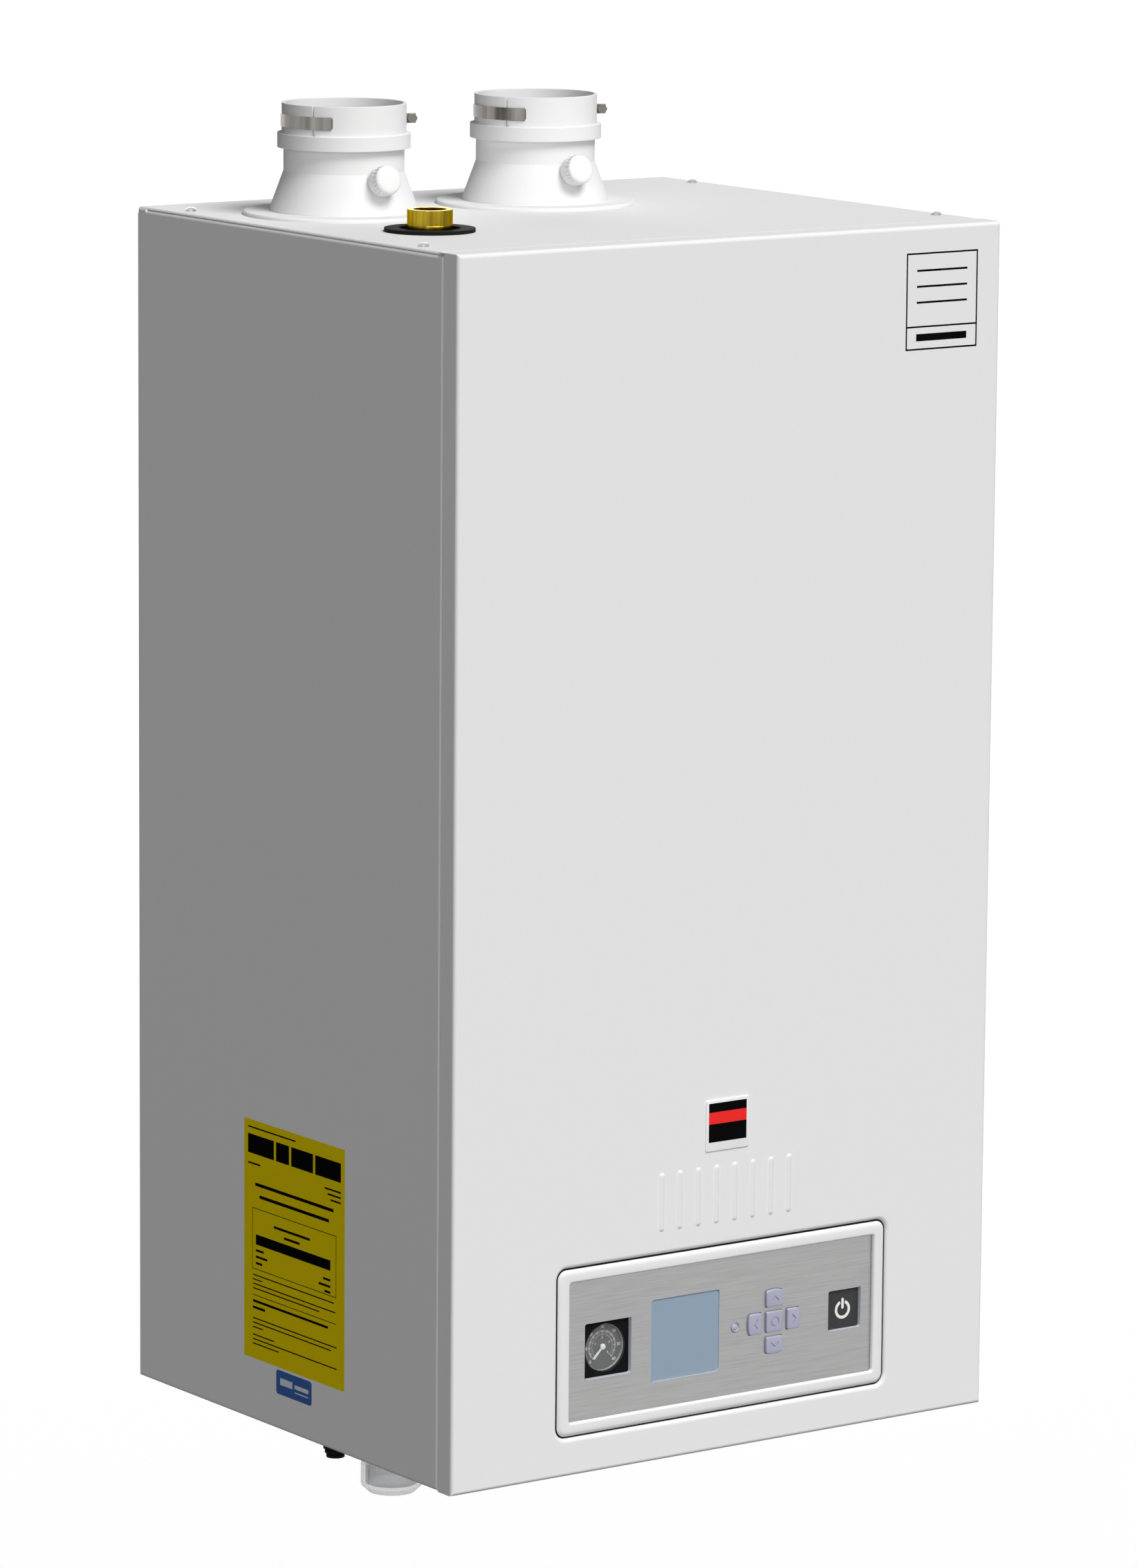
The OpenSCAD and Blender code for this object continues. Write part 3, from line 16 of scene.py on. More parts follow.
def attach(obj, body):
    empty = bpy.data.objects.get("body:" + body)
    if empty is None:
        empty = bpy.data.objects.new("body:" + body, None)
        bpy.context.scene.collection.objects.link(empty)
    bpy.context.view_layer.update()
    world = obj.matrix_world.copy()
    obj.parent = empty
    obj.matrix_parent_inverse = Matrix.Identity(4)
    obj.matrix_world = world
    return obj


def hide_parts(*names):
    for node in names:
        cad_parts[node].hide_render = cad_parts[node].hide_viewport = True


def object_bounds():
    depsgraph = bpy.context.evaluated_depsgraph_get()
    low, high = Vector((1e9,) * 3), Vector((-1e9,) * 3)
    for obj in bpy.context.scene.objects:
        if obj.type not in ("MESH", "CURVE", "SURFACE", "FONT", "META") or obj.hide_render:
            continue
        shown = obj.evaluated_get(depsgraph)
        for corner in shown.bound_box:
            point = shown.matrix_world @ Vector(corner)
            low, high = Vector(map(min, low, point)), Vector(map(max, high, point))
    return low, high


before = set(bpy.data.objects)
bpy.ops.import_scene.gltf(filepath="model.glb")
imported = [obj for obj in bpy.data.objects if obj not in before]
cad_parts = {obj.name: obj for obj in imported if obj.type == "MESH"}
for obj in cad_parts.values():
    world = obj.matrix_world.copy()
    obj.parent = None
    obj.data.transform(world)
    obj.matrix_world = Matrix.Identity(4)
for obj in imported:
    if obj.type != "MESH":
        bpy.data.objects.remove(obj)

cad_box = [list(corner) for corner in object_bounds()]
print("CAD box, metres:", cad_box)

# %% [markdown]
# ## One set of measures
# A maker measures this casing in millimetres from its lower front left corner, while the frame is in metres
# from the wall bracket's bolts. One matrix carries the first into the second, so each piece below is drawn in
# plain millimetres and moved once, at the end. That keeps its object at the origin with its place in its mesh.

# %% From casing millimetres to the frame
casing_w, casing_d, casing_h, hang_h = 498, 434, 920, 860
to_frame = Matrix.Scale(0.001, 4) @ Matrix.Translation((-casing_w / 2, -casing_d, -hang_h))
print("Casing corner in the frame:", tuple(round(c, 4) for c in to_frame @ Vector((0, 0, 0))))

# %% [markdown]
# ## Camera
# The view is a long lens from the left and a little above, turned about 35 degrees from the front. The place,
# heading and focal length were solved from the casing's edges, so the model fills the same part of the picture.
# Building the turn from the heading, height and roll keeps those three numbers readable, where a quaternion
# would hide them.

# %% Place the camera
heading, height, roll = (math.radians(a) for a in (-35.4383, 9.8506, 0.4676))
eye, focal_length, far_limit = (-2993.57, -4348.0, 1452.05), 169.35, 60
forward = Vector((-math.sin(heading) * math.cos(height), math.cos(heading) * math.cos(height), -math.sin(height)))
turn = forward.to_track_quat("-Z", "Y").to_matrix().to_4x4() @ Matrix.Rotation(roll, 4, "Z")
camera = bpy.data.objects.new("camera", bpy.data.cameras.new("camera"))
camera.matrix_world = Matrix.Translation(to_frame @ Vector(eye)) @ turn
camera.data.lens = focal_length
camera.data.clip_end = far_limit
bpy.context.scene.collection.objects.link(camera)
bpy.context.scene.camera = camera
print("Camera at", tuple(round(c, 3) for c in camera.location))

# %% [markdown]
# ## Stage and light
# The boiler hangs about a metre over a plain pale floor, as it would on its wall. A wide, soft key lamp above
# and in front gives the roof and the door their tones. A weaker one from the left keeps the left side grey and
# readable, and a third behind does the same for the back. The floor and the world are white where the camera, a
# mirror or a glass sees them, and calmer where they only light the object, so the background is white without
# washing out the paint. A little glow, seen only directly, keeps the floor white where the lamps are weakest.

# %% Floor
floor_drop, floor_reach = 1.0, 30

floor_mesh = bmesh.new()
bmesh.ops.create_grid(floor_mesh, x_segments=1, y_segments=1, size=floor_reach)
bmesh.ops.translate(floor_mesh, vec=(0, 0, cad_box[0][2] - floor_drop), verts=floor_mesh.verts)
floor = bpy.data.objects.new("floor", bpy.data.meshes.new("floor"))
floor_mesh.to_mesh(floor.data)
floor_mesh.free()
bpy.context.scene.collection.objects.link(floor)
print("Floor at height", round(cad_box[0][2] - floor_drop, 3))


# %% [markdown]
# Three steps come back in the materials of this file: telling the rays that see a surface directly from those
# that only light it, a number that goes from one value to another, and a colour that does the same. Each is a
# function that adds its nodes to a tree and gives back the socket to link on, so a material reads like a list.

# %% Rays, numbers and colours
def seen_directly(tree):
    """1 for camera, mirror and glass rays, and 0 for the rays that light a surface."""
    path = tree.nodes.new("ShaderNodeLightPath")
    either = path.outputs["Is Camera Ray"]
    for name in ("Is Glossy Ray", "Is Transmission Ray"):
        both = tree.nodes.new("ShaderNodeMath")
        both.operation = "MAXIMUM"
        tree.links.new(either, both.inputs[0])
        tree.links.new(path.outputs[name], both.inputs[1])
        either = both.outputs[0]
    return either


def between(tree, factor, low, high, start=0, end=1):
    """A number that goes from low to high while a factor goes from start to end."""
    ramp = tree.nodes.new("ShaderNodeMapRange")
    for socket, value in (("From Min", start), ("From Max", end), ("To Min", low), ("To Max", high)):
        ramp.inputs[socket].default_value = value
    tree.links.new(factor, ramp.inputs["Value"])
    return ramp.outputs["Result"]


def blend(tree, factor, first, second):
    """A colour that goes from the first to the second while a factor goes from 0 to 1."""
    mix = tree.nodes.new("ShaderNodeMix")
    mix.data_type = "RGBA"
    mix.inputs["A"].default_value = (*first, 1)
    mix.inputs["B"].default_value = (*second, 1)
    tree.links.new(factor, mix.inputs["Factor"])
    return mix.outputs["Result"]


# %% Paper on the floor, white where it is seen directly
white, grey, glow = (1, 1, 1), (0.12, 0.12, 0.12), 0.06
paper = bpy.data.materials.new("floor_paper")
paper.use_nodes = True
paper_shader = paper.node_tree.nodes["Principled BSDF"]
paper_shader.inputs["Roughness"].default_value = 0.9
paper_shader.inputs["Specular IOR Level"].default_value = 0.1
paper_shader.inputs["Emission Color"].default_value = (*white, 1)
seen = seen_directly(paper.node_tree)
paper.node_tree.links.new(blend(paper.node_tree, seen, grey, white), paper_shader.inputs["Base Color"])
paper.node_tree.links.new(between(paper.node_tree, seen, 0, glow), paper_shader.inputs["Emission Strength"])
floor.data.materials.append(paper)
print("Floor glow", glow)

# %% World
ambient = 0.08
world = bpy.data.worlds.new("studio")
world.use_nodes = True
bpy.context.scene.world = world
sky = world.node_tree.nodes["Background"]
sky.inputs["Color"].default_value = (*white, 1)
brightness = between(world.node_tree, seen_directly(world.node_tree), ambient, 1)
world.node_tree.links.new(brightness, sky.inputs["Strength"])
print("Ambient light", ambient)


# %% Lamps
def lamp(name, strength, towards, softness):
    """A wide sun lamp whose light travels along a direction."""
    data = bpy.data.lights.new(name, "SUN")
    data.energy = strength
    data.angle = math.radians(softness)
    light = bpy.data.objects.new(name, data)
    light.matrix_world = Vector(towards).to_track_quat("-Z", "Y").to_matrix().to_4x4()
    bpy.context.scene.collection.objects.link(light)
    print(name, "gives", round(strength / math.pi, 2), "of full light")


lamp("key_lamp", 2.86, (-0.10, 0.62, -0.78), 30)
lamp("side_lamp", 1.08, (0.55, 0.80, -0.22), 40)
lamp("rear_lamp", 0.8, (-0.5, -0.8, -0.25), 40)
bpy.context.scene.view_settings.view_transform = "Standard"

# %% [markdown]
# ## Finishes
# No real finish is one flat colour: powder coat has a fine orange peel, rolled steel has streaks, and moulded
# plastic has a faint cloudiness. All of these are a noise at the right scale, stretched where the work has a
# direction, that moves the colour and roughness a little and lifts a small bump. Noise reads object coordinates,
# which are metres here, so a scale of 1000 makes grains of about a millimetre.

# %% Grain
def grain_noise(tree, grain, stretch):
    """A noise in the piece's own metres."""
    place = tree.nodes.new("ShaderNodeTexCoord")
    spread = tree.nodes.new("ShaderNodeMapping")
    spread.inputs["Scale"].default_value = stretch
    noise = tree.nodes.new("ShaderNodeTexNoise")
    noise.inputs["Scale"].default_value = grain
    noise.inputs["Detail"].default_value = 4
    tree.links.new(place.outputs["Object"], spread.inputs["Vector"])
    tree.links.new(spread.outputs["Vector"], noise.inputs["Vector"])
    return noise.outputs["Fac"]


# %% [markdown]
# A folded or moulded edge is never knife sharp. A Bevel node gives the normal that a rounded edge would have.
# Used as the surface's normal, it softens the edge. Where it turns away from the true normal, the fold is near,
# and the colour goes over to near white: a painted highlight along each fold.

# %% Edges and painted fold highlights
def rounded_normal(tree, radius):
    """The normal that edges would have with a radius in millimetres."""
    rounded = tree.nodes.new("ShaderNodeBevel")
    rounded.samples = 6
    rounded.inputs["Radius"].default_value = radius / 1000
    return rounded.outputs["Normal"]


def painted_fold_highlight(tree, colour, width):
    """A colour with a painted highlight: it turns near white within a width in millimetres of each fold."""
    turned_away = tree.nodes.new("ShaderNodeVectorMath")
    turned_away.operation = "DOT_PRODUCT"
    tree.links.new(rounded_normal(tree, width), turned_away.inputs[0])
    tree.links.new(tree.nodes.new("ShaderNodeNewGeometry").outputs["Normal"], turned_away.inputs[1])
    fold = between(tree, turned_away.outputs["Value"], 0, 1, start=0.985, end=0.92)
    # The painted highlight: near white along the fold.
    highlighted = blend(tree, fold, white, (0.97, 0.97, 0.97))
    tree.links.new(colour, highlighted.node.inputs["A"])
    return highlighted


# %% [markdown]
# One function holds all of that. What is the same all over a surface is set on the shader itself, and only the
# values that follow the noise are linked.

# %% One function for every plain finish
def finish(name, colour, roughness, grain, shade=0.03, bump=0.0, metallic=0.0, stretch=(1, 1, 1), uneven=0.05,
           soft=0.0, edge=0.0, **sockets):
    """A finish whose colour, roughness and surface follow one noise. In millimetres, soft rounds sharp edges and
    edge is the width of a painted highlight, a near-white colour along each fold."""
    material = bpy.data.materials.new(name)
    material.use_nodes = True
    tree = material.node_tree
    shader = tree.nodes["Principled BSDF"]
    shader.inputs["Metallic"].default_value = metallic
    for socket, value in sockets.items():
        shader.inputs[socket.replace("_", " ")].default_value = value
    noise = grain_noise(tree, grain, stretch)
    tone = blend(tree, noise, [min(1, c * (1 - shade)) for c in colour], [min(1, c * (1 + shade)) for c in colour])
    if edge:
        tone = painted_fold_highlight(tree, tone, edge)
    tree.links.new(tone, shader.inputs["Base Color"])
    tree.links.new(between(tree, noise, roughness - uneven, roughness + uneven), shader.inputs["Roughness"])
    relief = tree.nodes.new("ShaderNodeBump")
    relief.inputs["Strength"].default_value = bump
    relief.inputs["Distance"].default_value = 0.0002
    tree.links.new(noise, relief.inputs["Height"])
    tree.links.new(relief.outputs["Normal"], shader.inputs["Normal"])
    if soft:
        tree.links.new(rounded_normal(tree, soft), relief.inputs["Normal"])
    return material


# %% [markdown]
# ## Mixing the finishes
# Each finish below is named for what a maker would order. The casing's powder coat is a light grey-white with a
# peel about a millimetre wide. The brushed plate's noise is squeezed sixty times along Z, so its scratches run
# along the plate. The brass's noise is stretched along Z into upright bands of light and dark, which are painted
# reflections, and the paint, the adaptors and the fascia carry a painted highlight along their folds. Clear
# mouldings use alpha instead of refraction, because they are thin and the parts behind them should stay lit.

# %% Finishes of the casing and adaptors
finishes = {
    # edge= paints a highlight along the folds of the casing paint and the adaptors.
    "casing_paint": finish("powder_coat", (0.80, 0.80, 0.80), 0.55, 900, shade=0.012, bump=0.10, soft=0.5, edge=1.5,
                           Specular_IOR_Level=0.0),
    "zinc_sheet": finish("galvanised_sheet", (0.55, 0.56, 0.57), 0.42, 60, shade=0.12, bump=0.05, metallic=1.0,
                         uneven=0.10),
    "screw_steel": finish("bright_zinc", (0.52, 0.51, 0.49), 0.24, 500, shade=0.06, bump=0.05, metallic=1.0),
    "adaptor_plastic": finish("adaptor_moulding", (0.775, 0.775, 0.775), 0.45, 1100, shade=0.012, bump=0.06,
                              soft=0.8, edge=0.8, Specular_IOR_Level=0.0),
    "cap_plastic": finish("cap_moulding", (0.80, 0.80, 0.80), 0.40, 1200, shade=0.012, bump=0.05,
                          Specular_IOR_Level=0.04),
    # The brass's upright bands of light and dark are painted reflections in its colour.
    "brass": finish("turned_brass", (0.40, 0.28, 0.02), 0.15, 300, shade=0.90, bump=0.02, metallic=1.0,
                    stretch=(1, 1, 0.02), soft=0.5, Specular_Tint=(0.60, 0.45, 0.08, 1)),
    "rubber": finish("black_rubber", (0.010, 0.010, 0.010), 0.75, 1400, shade=0.20, bump=0.20, soft=0.5,
                     Specular_IOR_Level=0.06),
}
print(len(finishes), "finishes so far")

# %% Finishes of the control module
finishes.update({
    # edge= paints a highlight along the fascia's folds.
    "fascia_white": finish("fascia_moulding", (0.80, 0.80, 0.80), 0.40, 1200, shade=0.012, bump=0.04, edge=0.7,
                           Specular_IOR_Level=0.05),
    "brushed_plate": finish("brushed_aluminium", (0.38, 0.38, 0.378), 0.36, 26, shade=0.22, bump=0.12, metallic=1.0,
                            stretch=(1, 1, 60), uneven=0.08),
    "display_panel": finish("display_window", (0.265, 0.345, 0.44), 0.25, 14, shade=0.03, uneven=0.03,
                            Specular_IOR_Level=0.3),
    "clear_lens": finish("lens_moulding", (0.42, 0.43, 0.54), 0.12, 700, shade=0.05, uneven=0.02,
                         Specular_IOR_Level=0.25),
    "key_silver": finish("silver_lacquer", (0.40, 0.405, 0.52), 0.30, 240, shade=0.04, metallic=0.1, uneven=0.02,
                         Specular_IOR_Level=0.15),
    "key_dark": finish("dark_key_moulding", (0.036, 0.036, 0.037), 0.40, 1500, shade=0.10, bump=0.10,
                       Specular_IOR_Level=0.2),
    "black_plastic": finish("black_moulding", (0.006, 0.006, 0.0065), 0.50, 1500, shade=0.15, bump=0.15,
                            Specular_IOR_Level=0.04),
    "needle_white": finish("white_print", (0.82, 0.82, 0.80), 0.50, 900, shade=0.02),
    "gauge_glass": finish("gauge_window", (0.5, 0.52, 0.53), 0.05, 300, shade=0.01, uneven=0.02, Alpha=0.05),
    "circuit_board": finish("solder_resist", (0.02, 0.16, 0.06), 0.35, 400, shade=0.10, bump=0.10),
})
print(len(finishes), "finishes so far")

# %% Finishes inside the casing
finishes.update({
    "copper": finish("copper_tube", (0.72, 0.38, 0.24), 0.28, 60, shade=0.12, metallic=1.0, uneven=0.08),
    "stainless": finish("formed_stainless", (0.56, 0.56, 0.56), 0.30, 40, shade=0.08, bump=0.05, metallic=1.0,
                        uneven=0.08),
    "cast_aluminium": finish("die_casting", (0.60, 0.60, 0.61), 0.50, 900, shade=0.10, bump=0.35, metallic=1.0),
    "ceramic": finish("glazed_ceramic", (0.82, 0.80, 0.74), 0.25, 500, shade=0.04, Coat_Weight=0.5),
    "motor_paint": finish("black_stove_paint", (0.03, 0.03, 0.032), 0.45, 1000, shade=0.15, bump=0.20),
    "grey_plastic": finish("grey_moulding", (0.14, 0.145, 0.15), 0.45, 1200, shade=0.08, bump=0.12),
    "white_plastic": finish("white_pipe_plastic", (0.78, 0.78, 0.76), 0.40, 1000, shade=0.03, bump=0.08),
    "clear_plastic": finish("clear_moulding", (0.80, 0.81, 0.83), 0.10, 200, shade=0.02, uneven=0.03,
                            Specular_IOR_Level=0.2),
    "vessel_paint": finish("red_enamel", (0.38, 0.02, 0.015), 0.30, 700, shade=0.06, bump=0.12, Coat_Weight=0.3),
    "pump_iron": finish("pump_paint", (0.02, 0.045, 0.05), 0.40, 500, shade=0.12, bump=0.35),
})
print(len(finishes), "finishes so far")

# %% Give each node its finish
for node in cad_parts.values():
    for place in node.material_slots:
        place.material = finishes[place.material.name.split(".")[0]]
print(len(finishes), "finishes on", len(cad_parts), "nodes")

# %% [markdown]
# ## Clear walls
# A clear cap is a thin wall. Looked at face on it hardly shows, and where the wall turns edge on there is more
# plastic in the way, so it looks milky. Layer Weight tells how edge on a surface is, and drives the opacity.

# %% A clear moulding that is denser where it is edge on
thin_wall, thick_wall = 0.10, 0.60
clear = finishes["clear_plastic"].node_tree
edge_on = clear.nodes.new("ShaderNodeLayerWeight")
edge_on.inputs["Blend"].default_value = 0.35
density = between(clear, edge_on.outputs["Facing"], thin_wall, thick_wall)
clear.links.new(density, clear.nodes["Principled BSDF"].inputs["Alpha"])
print("Opacity from", thin_wall, "to", thick_wall)

# %% [markdown]
# ## Nodes with a finish of their own
# Four nodes differ from the rest of their metal or plastic. The clamp bands are rolled strip whose reflections are
# painted into their colour as upright streaks of light and dark, their screws are blackened, and the trap behind
# the clear cap is a smoked moulding.

# %% Bands, screws and trap
black_zinc = finish("black_zinc", (0.20, 0.185, 0.165), 0.34, 500, shade=0.15, bump=0.08, metallic=0.8)
own_finish = {
    # The bands' upright streaks of light and dark are painted reflections.
    "clamp_bands": finish("band_painted_streaks", (0.25, 0.235, 0.22), 0.24, 150, shade=0.98, metallic=1.0,
                          stretch=(1, 1, 0.03), uneven=0.08),
    "exhaust_clamp_screw": black_zinc,
    "intake_clamp_screw": black_zinc,
    "condensate_trap": finish("smoked_moulding", (0.62, 0.62, 0.66), 0.20, 200, shade=0.04, uneven=0.03,
                              Alpha=0.26, Specular_IOR_Level=0.2),
}
for name, look in own_finish.items():
    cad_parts[name].material_slots[0].material = look
    print(name, "has", look.name)

# %% [markdown]
# ## From a bmesh to a finished piece
# Every piece below ends the same way: its doubles are merged, its faces are turned outwards, its millimetres
# become the frame's metres, and it is told which body it rides on. Its finish is the record's finish for its slot,
# or a look of its own where one is given. Shading is smooth, with the folds sharper than a set angle kept crisp,
# which is how a real moulding or casting reads.

# %% Finish a piece, and stand a flat drawing upright
upright = Matrix.Rotation(math.radians(90), 4, "X")


def settle(bm, name, body, slot, look=None, replaces=(), crease=35):
    """Turns a bmesh in casing millimetres into a piece that rides on a body."""
    bmesh.ops.remove_doubles(bm, verts=bm.verts, dist=0.0005)
    bmesh.ops.recalc_face_normals(bm, faces=bm.faces)
    bmesh.ops.transform(bm, matrix=to_frame, verts=bm.verts)
    mesh = bpy.data.meshes.new(name)
    bm.to_mesh(mesh)
    bm.free()
    mesh.materials.append(look or finishes[slot])
    mesh.shade_smooth()
    mesh.set_sharp_from_angle(angle=math.radians(crease))
    piece = bpy.data.objects.new(name, mesh)
    bpy.context.scene.collection.objects.link(piece)
    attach(piece, body)
    if replaces:
        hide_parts(*replaces)
    print(f"{name}: {len(mesh.polygons)} faces")
    return piece


def stand(bm, x, y, z, spin=0):
    """Stands a drawing up, facing forwards, with its origin at a casing place; spin turns it on its face."""
    turn = Matrix.Translation((x, y, z)) @ upright @ Matrix.Rotation(math.radians(spin), 4, "Z")
    bmesh.ops.transform(bm, matrix=turn, verts=bm.verts)
    return bm


# %% [markdown]
# ## Flat parts with soft edges
# Keys, labels and windows are all a rounded outline with a thickness. The outline starts as one grid face whose
# corners are bevelled. Extruding it gives the body, and a second bevel along the front rim gives the soft edge
# that catches the light. Doing it in this order keeps the corner and the rim bevels independent.

# %% Rounded slabs
def thicken(bm, depth, edge=0.0, segments=3):
    """Gives a flat outline at Z = 0 a body behind it and a soft front rim."""
    grown = bmesh.ops.extrude_face_region(bm, geom=bm.faces[:], use_keep_orig=True)
    back = [v for v in grown["geom"] if isinstance(v, bmesh.types.BMVert)]
    bmesh.ops.translate(bm, vec=(0, 0, -depth), verts=back)
    bmesh.ops.recalc_face_normals(bm, faces=bm.faces)
    if edge:
        rim = [e for e in bm.edges if all(abs(v.co.z) < 1e-6 for v in e.verts) and e.calc_face_angle(0) > 0.5]
        bmesh.ops.bevel(bm, geom=rim, offset=edge, offset_type="OFFSET", affect="EDGES", segments=segments,
                        profile=0.5, material=-1)
    return bm


def slab(width, tall, corner, depth, edge=0.0, segments=3):
    """A rounded slab round the origin, with its face at Z = 0."""
    bm = bmesh.new()
    bmesh.ops.create_grid(bm, x_segments=1, y_segments=1, size=0.5)
    bmesh.ops.scale(bm, vec=(width, tall, 1), verts=bm.verts)
    if corner:
        bmesh.ops.bevel(bm, geom=bm.verts[:], offset=corner, offset_type="OFFSET", affect="VERTICES", segments=6,
                        profile=0.5, material=-1)
    return thicken(bm, depth, edge, segments)


def outline(points, depth, edge=0.0):
    """A slab with a drawn outline."""
    bm = bmesh.new()
    bm.faces.new([bm.verts.new((x, y, 0)) for x, y in points])
    return thicken(bm, depth, edge)


# %% [markdown]
# ## Joining and cutting
# A key is a cap with a flange behind it and a mark cut into its face. A bmesh has no call that takes in another
# bmesh, so the second one passes through a mesh. Cutting needs the Boolean modifier, whose exact solver keeps
# the thin walls of an engraving clean, and the result is read back before the two helper objects are removed.

# %% Join and carve
def add(bm, other):
    """Puts one bmesh into another and closes it."""
    carried = bpy.data.meshes.new("carried")
    other.to_mesh(carried)
    other.free()
    bm.from_mesh(carried)
    bpy.data.meshes.remove(carried)
    return bm


def carve(blank, tool):
    """Cuts one closed bmesh out of another, as an engraving tool does."""
    solids = []
    for shape in (blank, tool):
        bmesh.ops.recalc_face_normals(shape, faces=shape.faces)
        mesh = bpy.data.meshes.new("solid")
        shape.to_mesh(mesh)
        shape.free()
        solids.append(bpy.data.objects.new("solid", mesh))
        bpy.context.scene.collection.objects.link(solids[-1])
    cut = solids[0].modifiers.new("cut", "BOOLEAN")
    cut.operation = "DIFFERENCE"
    cut.solver = "EXACT"
    cut.object = solids[1]
    result = bmesh.new()
    result.from_object(solids[0], bpy.context.evaluated_depsgraph_get())
    for solid in solids:
        mesh = solid.data
        bpy.data.objects.remove(solid)
        bpy.data.meshes.remove(mesh)
    return result


# %% [markdown]
# ## Keys
# Five small lacquered keys stand through the brushed plate. Each is a slab with a soft rim, and the outer edge
# of each arrow key is an arc of a wider circle, so together they read as one round pad. The arrows are engraved:
# a thin chevron is cut out of the finished cap, which leaves real walls that catch light and shade. The middle
# key carries an engraved ring.

# %% Arrow keys
row_z, keys_x, key_pitch = 92.3, 298, 18.4
key_w, key_h, slim_w, cap_h = 15.2, 16.2, 12.4, 13.6
key_face, key_back, key_rim, key_corner = 0.8, 9.0, 1.1, 1.3
outer_curve, engraved = 26, 0.7


def arrow_blank(long, short):
    """An arrow key's cap with its curved outer edge upwards."""
    bm = bmesh.new()
    bmesh.ops.create_grid(bm, x_segments=12, y_segments=1, size=0.5)
    bmesh.ops.scale(bm, vec=(long, short, 1), verts=bm.verts)
    for v in bm.verts:
        if v.co.y > 0:
            v.co.y -= outer_curve - math.sqrt(outer_curve ** 2 - v.co.x ** 2)
    bmesh.ops.dissolve_faces(bm, faces=bm.faces[:])
    corners = [v for v in bm.verts if abs(v.co.x) > long / 2 - 0.01]
    bmesh.ops.bevel(bm, geom=corners, offset=key_corner, offset_type="OFFSET", affect="VERTICES", segments=3,
                    profile=0.5, material=-1)
    return thicken(bm, key_back - key_face, key_rim)


def chevron():
    """The tool that engraves an upward arrow."""
    bm = outline([(-3.5, -1.5), (0, 1.9), (3.5, -1.5), (3.5, -2.7), (0, 0.7), (-3.5, -2.7)], 2 * engraved)
    bmesh.ops.translate(bm, vec=(0, 0, engraved), verts=bm.verts)
    return bm


def lip(width, tall):
    """The flange behind the plate that stops a key from falling out."""
    bm = slab(width + 2, tall + 2, 1.0, 1.0)
    bmesh.ops.translate(bm, vec=(0, 0, key_face - key_back), verts=bm.verts)
    return bm


for quarters, side in enumerate(("up", "left", "down", "right")):
    long, short = (key_w, cap_h) if quarters % 2 == 0 else (key_h, slim_w)
    cap = add(carve(arrow_blank(long, short), chevron()), lip(long, short))
    bmesh.ops.translate(cap, vec=(0, key_pitch, 0), verts=cap.verts)
    settle(stand(cap, keys_x, key_face, row_z, spin=90 * quarters), f"{side}_key_cap", f"key_{side}", "key_silver",
           replaces=[f"key_{side}"], crease=25)

# %% Middle key
ring_tool = bmesh.new()
for radius in (3.9, 2.9):
    bmesh.ops.create_circle(ring_tool, cap_ends=False, segments=48, radius=radius)
bmesh.ops.bridge_loops(ring_tool, edges=ring_tool.edges[:])
thicken(ring_tool, 2 * engraved)
bmesh.ops.translate(ring_tool, vec=(0, 0, engraved), verts=ring_tool.verts)
middle = add(carve(slab(key_w, key_h, key_corner, key_back - key_face, key_rim), ring_tool), lip(key_w, key_h))
settle(stand(middle, keys_x, key_face, row_z), "middle_key_cap", "key_ok", "key_silver", replaces=["key_ok"],
       crease=25)

# %% [markdown]
# ## Power key
# The square power key sits deep in its own opening and carries the usual open ring and bar in pale print. The
# print is a thin inlay on the key's face: an arc bridged between two part circles and a rounded bar. It is a
# separate piece, so it has its own finish, and it rides with the key.

# %% Power key
power_x, power_side, power_face = 366, 31, 5.6
power_depth = key_back - power_face
flange = slab(power_side + 2, power_side + 2, 2.5, 1.0)
bmesh.ops.translate(flange, vec=(0, 0, -power_depth), verts=flange.verts)
power = add(slab(power_side, power_side, 1.5, power_depth, 1.3), flange)
settle(stand(power, power_x, power_face, row_z), "power_key_cap", "power_key", "key_dark", replaces=["power_key"])


# %% The symbol on the power key
def arc_band(inner, outer, start, end, depth, steps=40):
    """A flat band along part of a circle, by spinning a short edge."""
    bm = bmesh.new()
    a, b = bm.verts.new((inner, 0, 0)), bm.verts.new((outer, 0, 0))
    edge = bm.edges.new((a, b))
    bmesh.ops.rotate(bm, verts=bm.verts, cent=(0, 0, 0), matrix=Matrix.Rotation(math.radians(start), 3, "Z"))
    bmesh.ops.spin(bm, geom=[a, b, edge], cent=(0, 0, 0), axis=(0, 0, 1), dvec=(0, 0, 0),
                   angle=math.radians(end - start), steps=steps, use_merge=False)
    bmesh.ops.remove_doubles(bm, verts=bm.verts, dist=0.001)
    return thicken(bm, depth)


inlay, proud, symbol_drop = 0.15, 0.12, 0.8
symbol = arc_band(5.0, 7.3, 112, 428, inlay)
bar = slab(2.3, 8.5, 1.1, inlay)
bmesh.ops.translate(bar, vec=(0, 4.8, 0), verts=bar.verts)
settle(stand(add(symbol, bar), power_x, power_face - proud, row_z - symbol_drop), "power_symbol", "power_key",
       "needle_white")

# %% [markdown]
# ## Pressure gauge
# The gauge is a black square case with a round well, a grey dial at the bottom of it and a pale needle. The
# pale wall of the well shows as a bright crescent on the side away from the light, so it is a ring of its own.
# The marks are plain ticks and numbers. A tick is one thin box, copied round by turning it, and a number is a
# text curve that is made a mesh before it is placed.

# %% Dial and well
gauge_x, dial_y, well_front, well_depth = 143.5, 11.0, 8.7, 2.1
dial_r, well_r = 17.9, 17.6

dial = bmesh.new()
bmesh.ops.create_circle(dial, cap_ends=True, segments=96, radius=dial_r)
settle(stand(thicken(dial, 0.1), gauge_x, dial_y - 0.15, row_z), "gauge_dial", "chassis", "grey_plastic",
       look=finish("dial_enamel", (0.085, 0.085, 0.085), 0.45, 800, shade=0.06))

